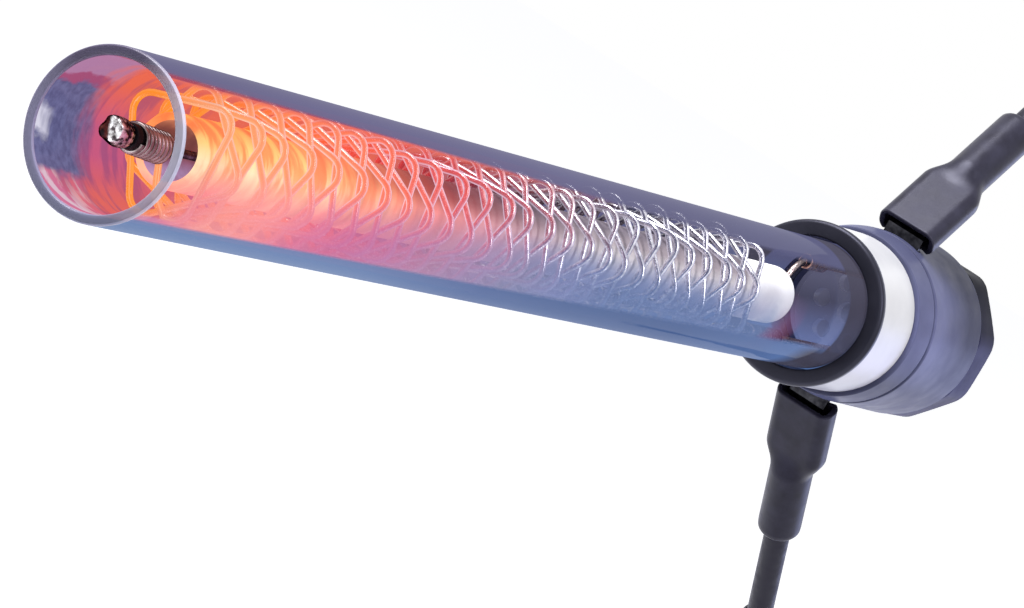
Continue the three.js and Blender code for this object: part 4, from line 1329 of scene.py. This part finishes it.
def rodMesh():
    rise = winding["tailRadius"]
    bend = coreBack - stud["rodStraightPast"]
    level = bend - stud["rodRise"]
    front = high("center_rod")
    route = [(front, 0, 0), ((front + bend) / 2, 0, 0), (bend + 1, 0, 0), (bend, 0, 0.05 * rise),
             (bend - 0.3 * stud["rodRise"], 0, 0.35 * rise), (bend - 0.6 * stud["rodRise"], 0, 0.8 * rise),
             (level, 0, rise), (low("center_rod"), 0, rise)]
    lead = [(front - (front - coreFront) * i / 6, 0, 0) for i in range(7)]
    return leaned(wireMesh([*lead, route[1], *smoothRoute(route[2:], 8)], stud["rodRadius"]))


dress(rodMesh(), "center_rod", "nickel", "nickelWire", smoothing=80)

wrapBack, wrapFront = low("rod_wrap"), high("rod_wrap")


def wrapMesh():
    rib = stud["ribWire"]
    coil = helix(stud["wrapRadius"] - rib, wrapBack + stud["neck"], stud["wrapTurns"], stud["wrapPitch"], 40)
    ribsEnd = wrapBack + stud["neck"] + stud["wrapTurns"] * stud["wrapPitch"]
    inner = stud["wrapRadius"] - 1.5 * rib
    tip = stud["wrapRadius"] - rib
    sleeve = revolved(softened([(wrapBack, 0.55), (wrapBack, inner), (ribsEnd + 0.1, inner),
                                (ribsEnd + 0.2, tip), (wrapFront, tip - 0.1), (wrapFront, 0.55)], 0.12), 64)
    turns = wireMesh(coil, rib, 12)
    coats = [0] * len(turns.polygons) + [1] * len(sleeve.polygons)
    return leaned(joined(turns, sleeve)), coats


wrap, wrapCoats = wrapMesh()
dress(wrap, "rod_wrap", "nickel", "burntNickel", "burntMetal", faceCoats=wrapCoats, smoothing=80)


def beadMesh():  # a melted lump, uneven and a little flattened where it has run together
    work = bmesh.new()
    bmesh.ops.create_icosphere(work, subdivisions=5, radius=1)
    mesh = bpy.data.meshes.new("bead")
    work.to_mesh(mesh)
    work.free()
    dents = random.Random(stud["beadSeed"])
    lumps = [(Vector((dents.gauss(0, 1), dents.gauss(0, 1), dents.gauss(0, 1))).normalized(),
              dents.uniform(0.3, 0.7), dents.uniform(-0.16, 0.04)) for _ in range(stud["beadLumps"])]
    for vertex in mesh.vertices:
        way = vertex.co.normalized()
        reach = 0.96
        for centre, width, depth in lumps:
            reach += depth * math.exp(-((way - centre).length / width) ** 2 * 3)
        square = 1 / max(abs(way.x), math.hypot(way.y, way.z)) ** 0.6
        vertex.co = way * min(reach * square, 1.12) * stud["beadRadius"] * 0.9 * mm
        vertex.co.x = max(min(vertex.co.x * 1.1, stud["beadRadius"] * mm), -stud["beadRadius"] * mm)
    return leaned(shifted(mesh, nozzle - stud["beadSetback"]))


dress(beadMesh(), "weld_bead", "nickel", "weldedTip", smoothing=60)


def ferruleMesh(node, radius, bore, height, crimps):
    start, end = low(node), high(node)
    outline = [(start, bore), (start, radius)]
    for crimp in crimps:
        place = start + (end - start) * crimp
        outline += [(place - 0.6, radius), (place - 0.25, radius * 0.86), (place + 0.25, radius * 0.86),
                    (place + 0.6, radius)]
    outline += [(end, radius), (end, bore)]
    return shifted(revolved(softened(outline, 0.18), 64), 0, height)


dress(ferruleMesh("rod_ferrule", stud["ferruleRadius"], 0.8, winding["tailRadius"], (0.3, 0.7)),
      "rod_ferrule", "nickel", "bareCopper")
dress(ferruleMesh("tail_ferrule", stud["tailFerruleRadius"], 0.7, -winding["tailRadius"], (0.2, 0.45, 0.8)),
      "tail_ferrule", "nickel", "nickelWire")
for side, height in (("upper", winding["tailRadius"]), ("lower", -winding["tailRadius"])):
    node = f"{side}_feed_wire"
    route = [(x, 0, height) for x in (low(node), (low(node) + high(node)) / 2, high(node))]
    dress(wireMesh(route, stud["feedRadius"]), node, "copper", "bareCopper", smoothing=80)
print("tube, core and wires ready")

# ---- hidden parts keep their own solids ----

for name, coat in (("tube_gasket", "fibre"), ("upper_tab", "agedTin"), ("lower_tab", "agedTin"),
                   ("upper_conductor", "bareCopper"), ("lower_conductor", "bareCopper")):
    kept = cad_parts[name].data.materials
    kept.clear()
    kept.append(finishes[coat])

# ---- floor, background and lamps ----

studio = {
    "floorDrop": 260,
    "floorHalf": 3,
    "ambient": 0.44,
    "middle": (130, 0, 0),
    "lamps": {  # way right, up and nearer as the photograph sees them, size, power and colour
        "keyLamp": (0.02, 0.85, 0.22, (0.55, 0.5), 16, (1, 1, 1)),
        "sideLamp": (0.62, 0.12, 0.55, (0.2, 0.45), 3.6, (0.92, 0.92, 1.0)),
        "fillLamp": (0.45, -0.40, -0.62, (0.5, 0.5), 1.5, (0.42, 0.50, 1.0)),
    },
}


def makeWorld():
    world = bpy.data.worlds.new("paleRoom")
    bpy.context.scene.world = world
    world.use_nodes = True
    world.node_tree.nodes.clear()
    graph = Graph(world.node_tree)
    room = graph.step("ShaderNodeBackground",
                      {"Color": (0.93, 0.94, 1.0, 1), "Strength": studio["ambient"]})[0]
    sight = graph.step("ShaderNodeBackground", {"Color": (1, 1, 1, 1), "Strength": 1})[0]
    mixed = graph.step("ShaderNodeMixShader", {0: graph.whenSeen(), 1: room, 2: sight})[0]
    graph.step("ShaderNodeOutputWorld", {0: mixed})


def makeFloor():
    half = studio["floorHalf"]
    height = -studio["floorDrop"] * mm
    mesh = bpy.data.meshes.new("floor")
    corners = [(x * half, y * half, height) for x, y in ((-1, -1), (1, -1), (1, 1), (-1, 1))]
    mesh.from_pydata(corners, [], [(0, 1, 2, 3)])
    pale = Finish("paleFloor", (0.9, 0.9, 0.9), 0.7, Specular_IOR_Level=0.0,
                  Emission_Color=(0.6, 0.6, 0.6, 1))
    pale.set(Emission_Strength=pale.whenSeen())
    mesh.materials.append(pale.material)
    placed("floor", mesh)


def makeLamp(name, right, up, nearer, size, power, colour):
    middle = Vector(studio["middle"]) * mm
    data = bpy.data.lights.new(name, "AREA")
    data.shape = "RECTANGLE"
    data.size, data.size_y = size
    data.energy = power
    data.color = colour
    made = placed(name, data)
    made.location = middle + screenRight * right + screenUp * up + towardsCamera * nearer
    made.rotation_euler = (made.location - middle).to_track_quat("Z", "Y").to_euler()


makeWorld()
makeFloor()
for name, settings in studio["lamps"].items():
    makeLamp(name, *settings)
print("lamps ready")

bpy.context.scene.view_settings.view_transform = "Standard"
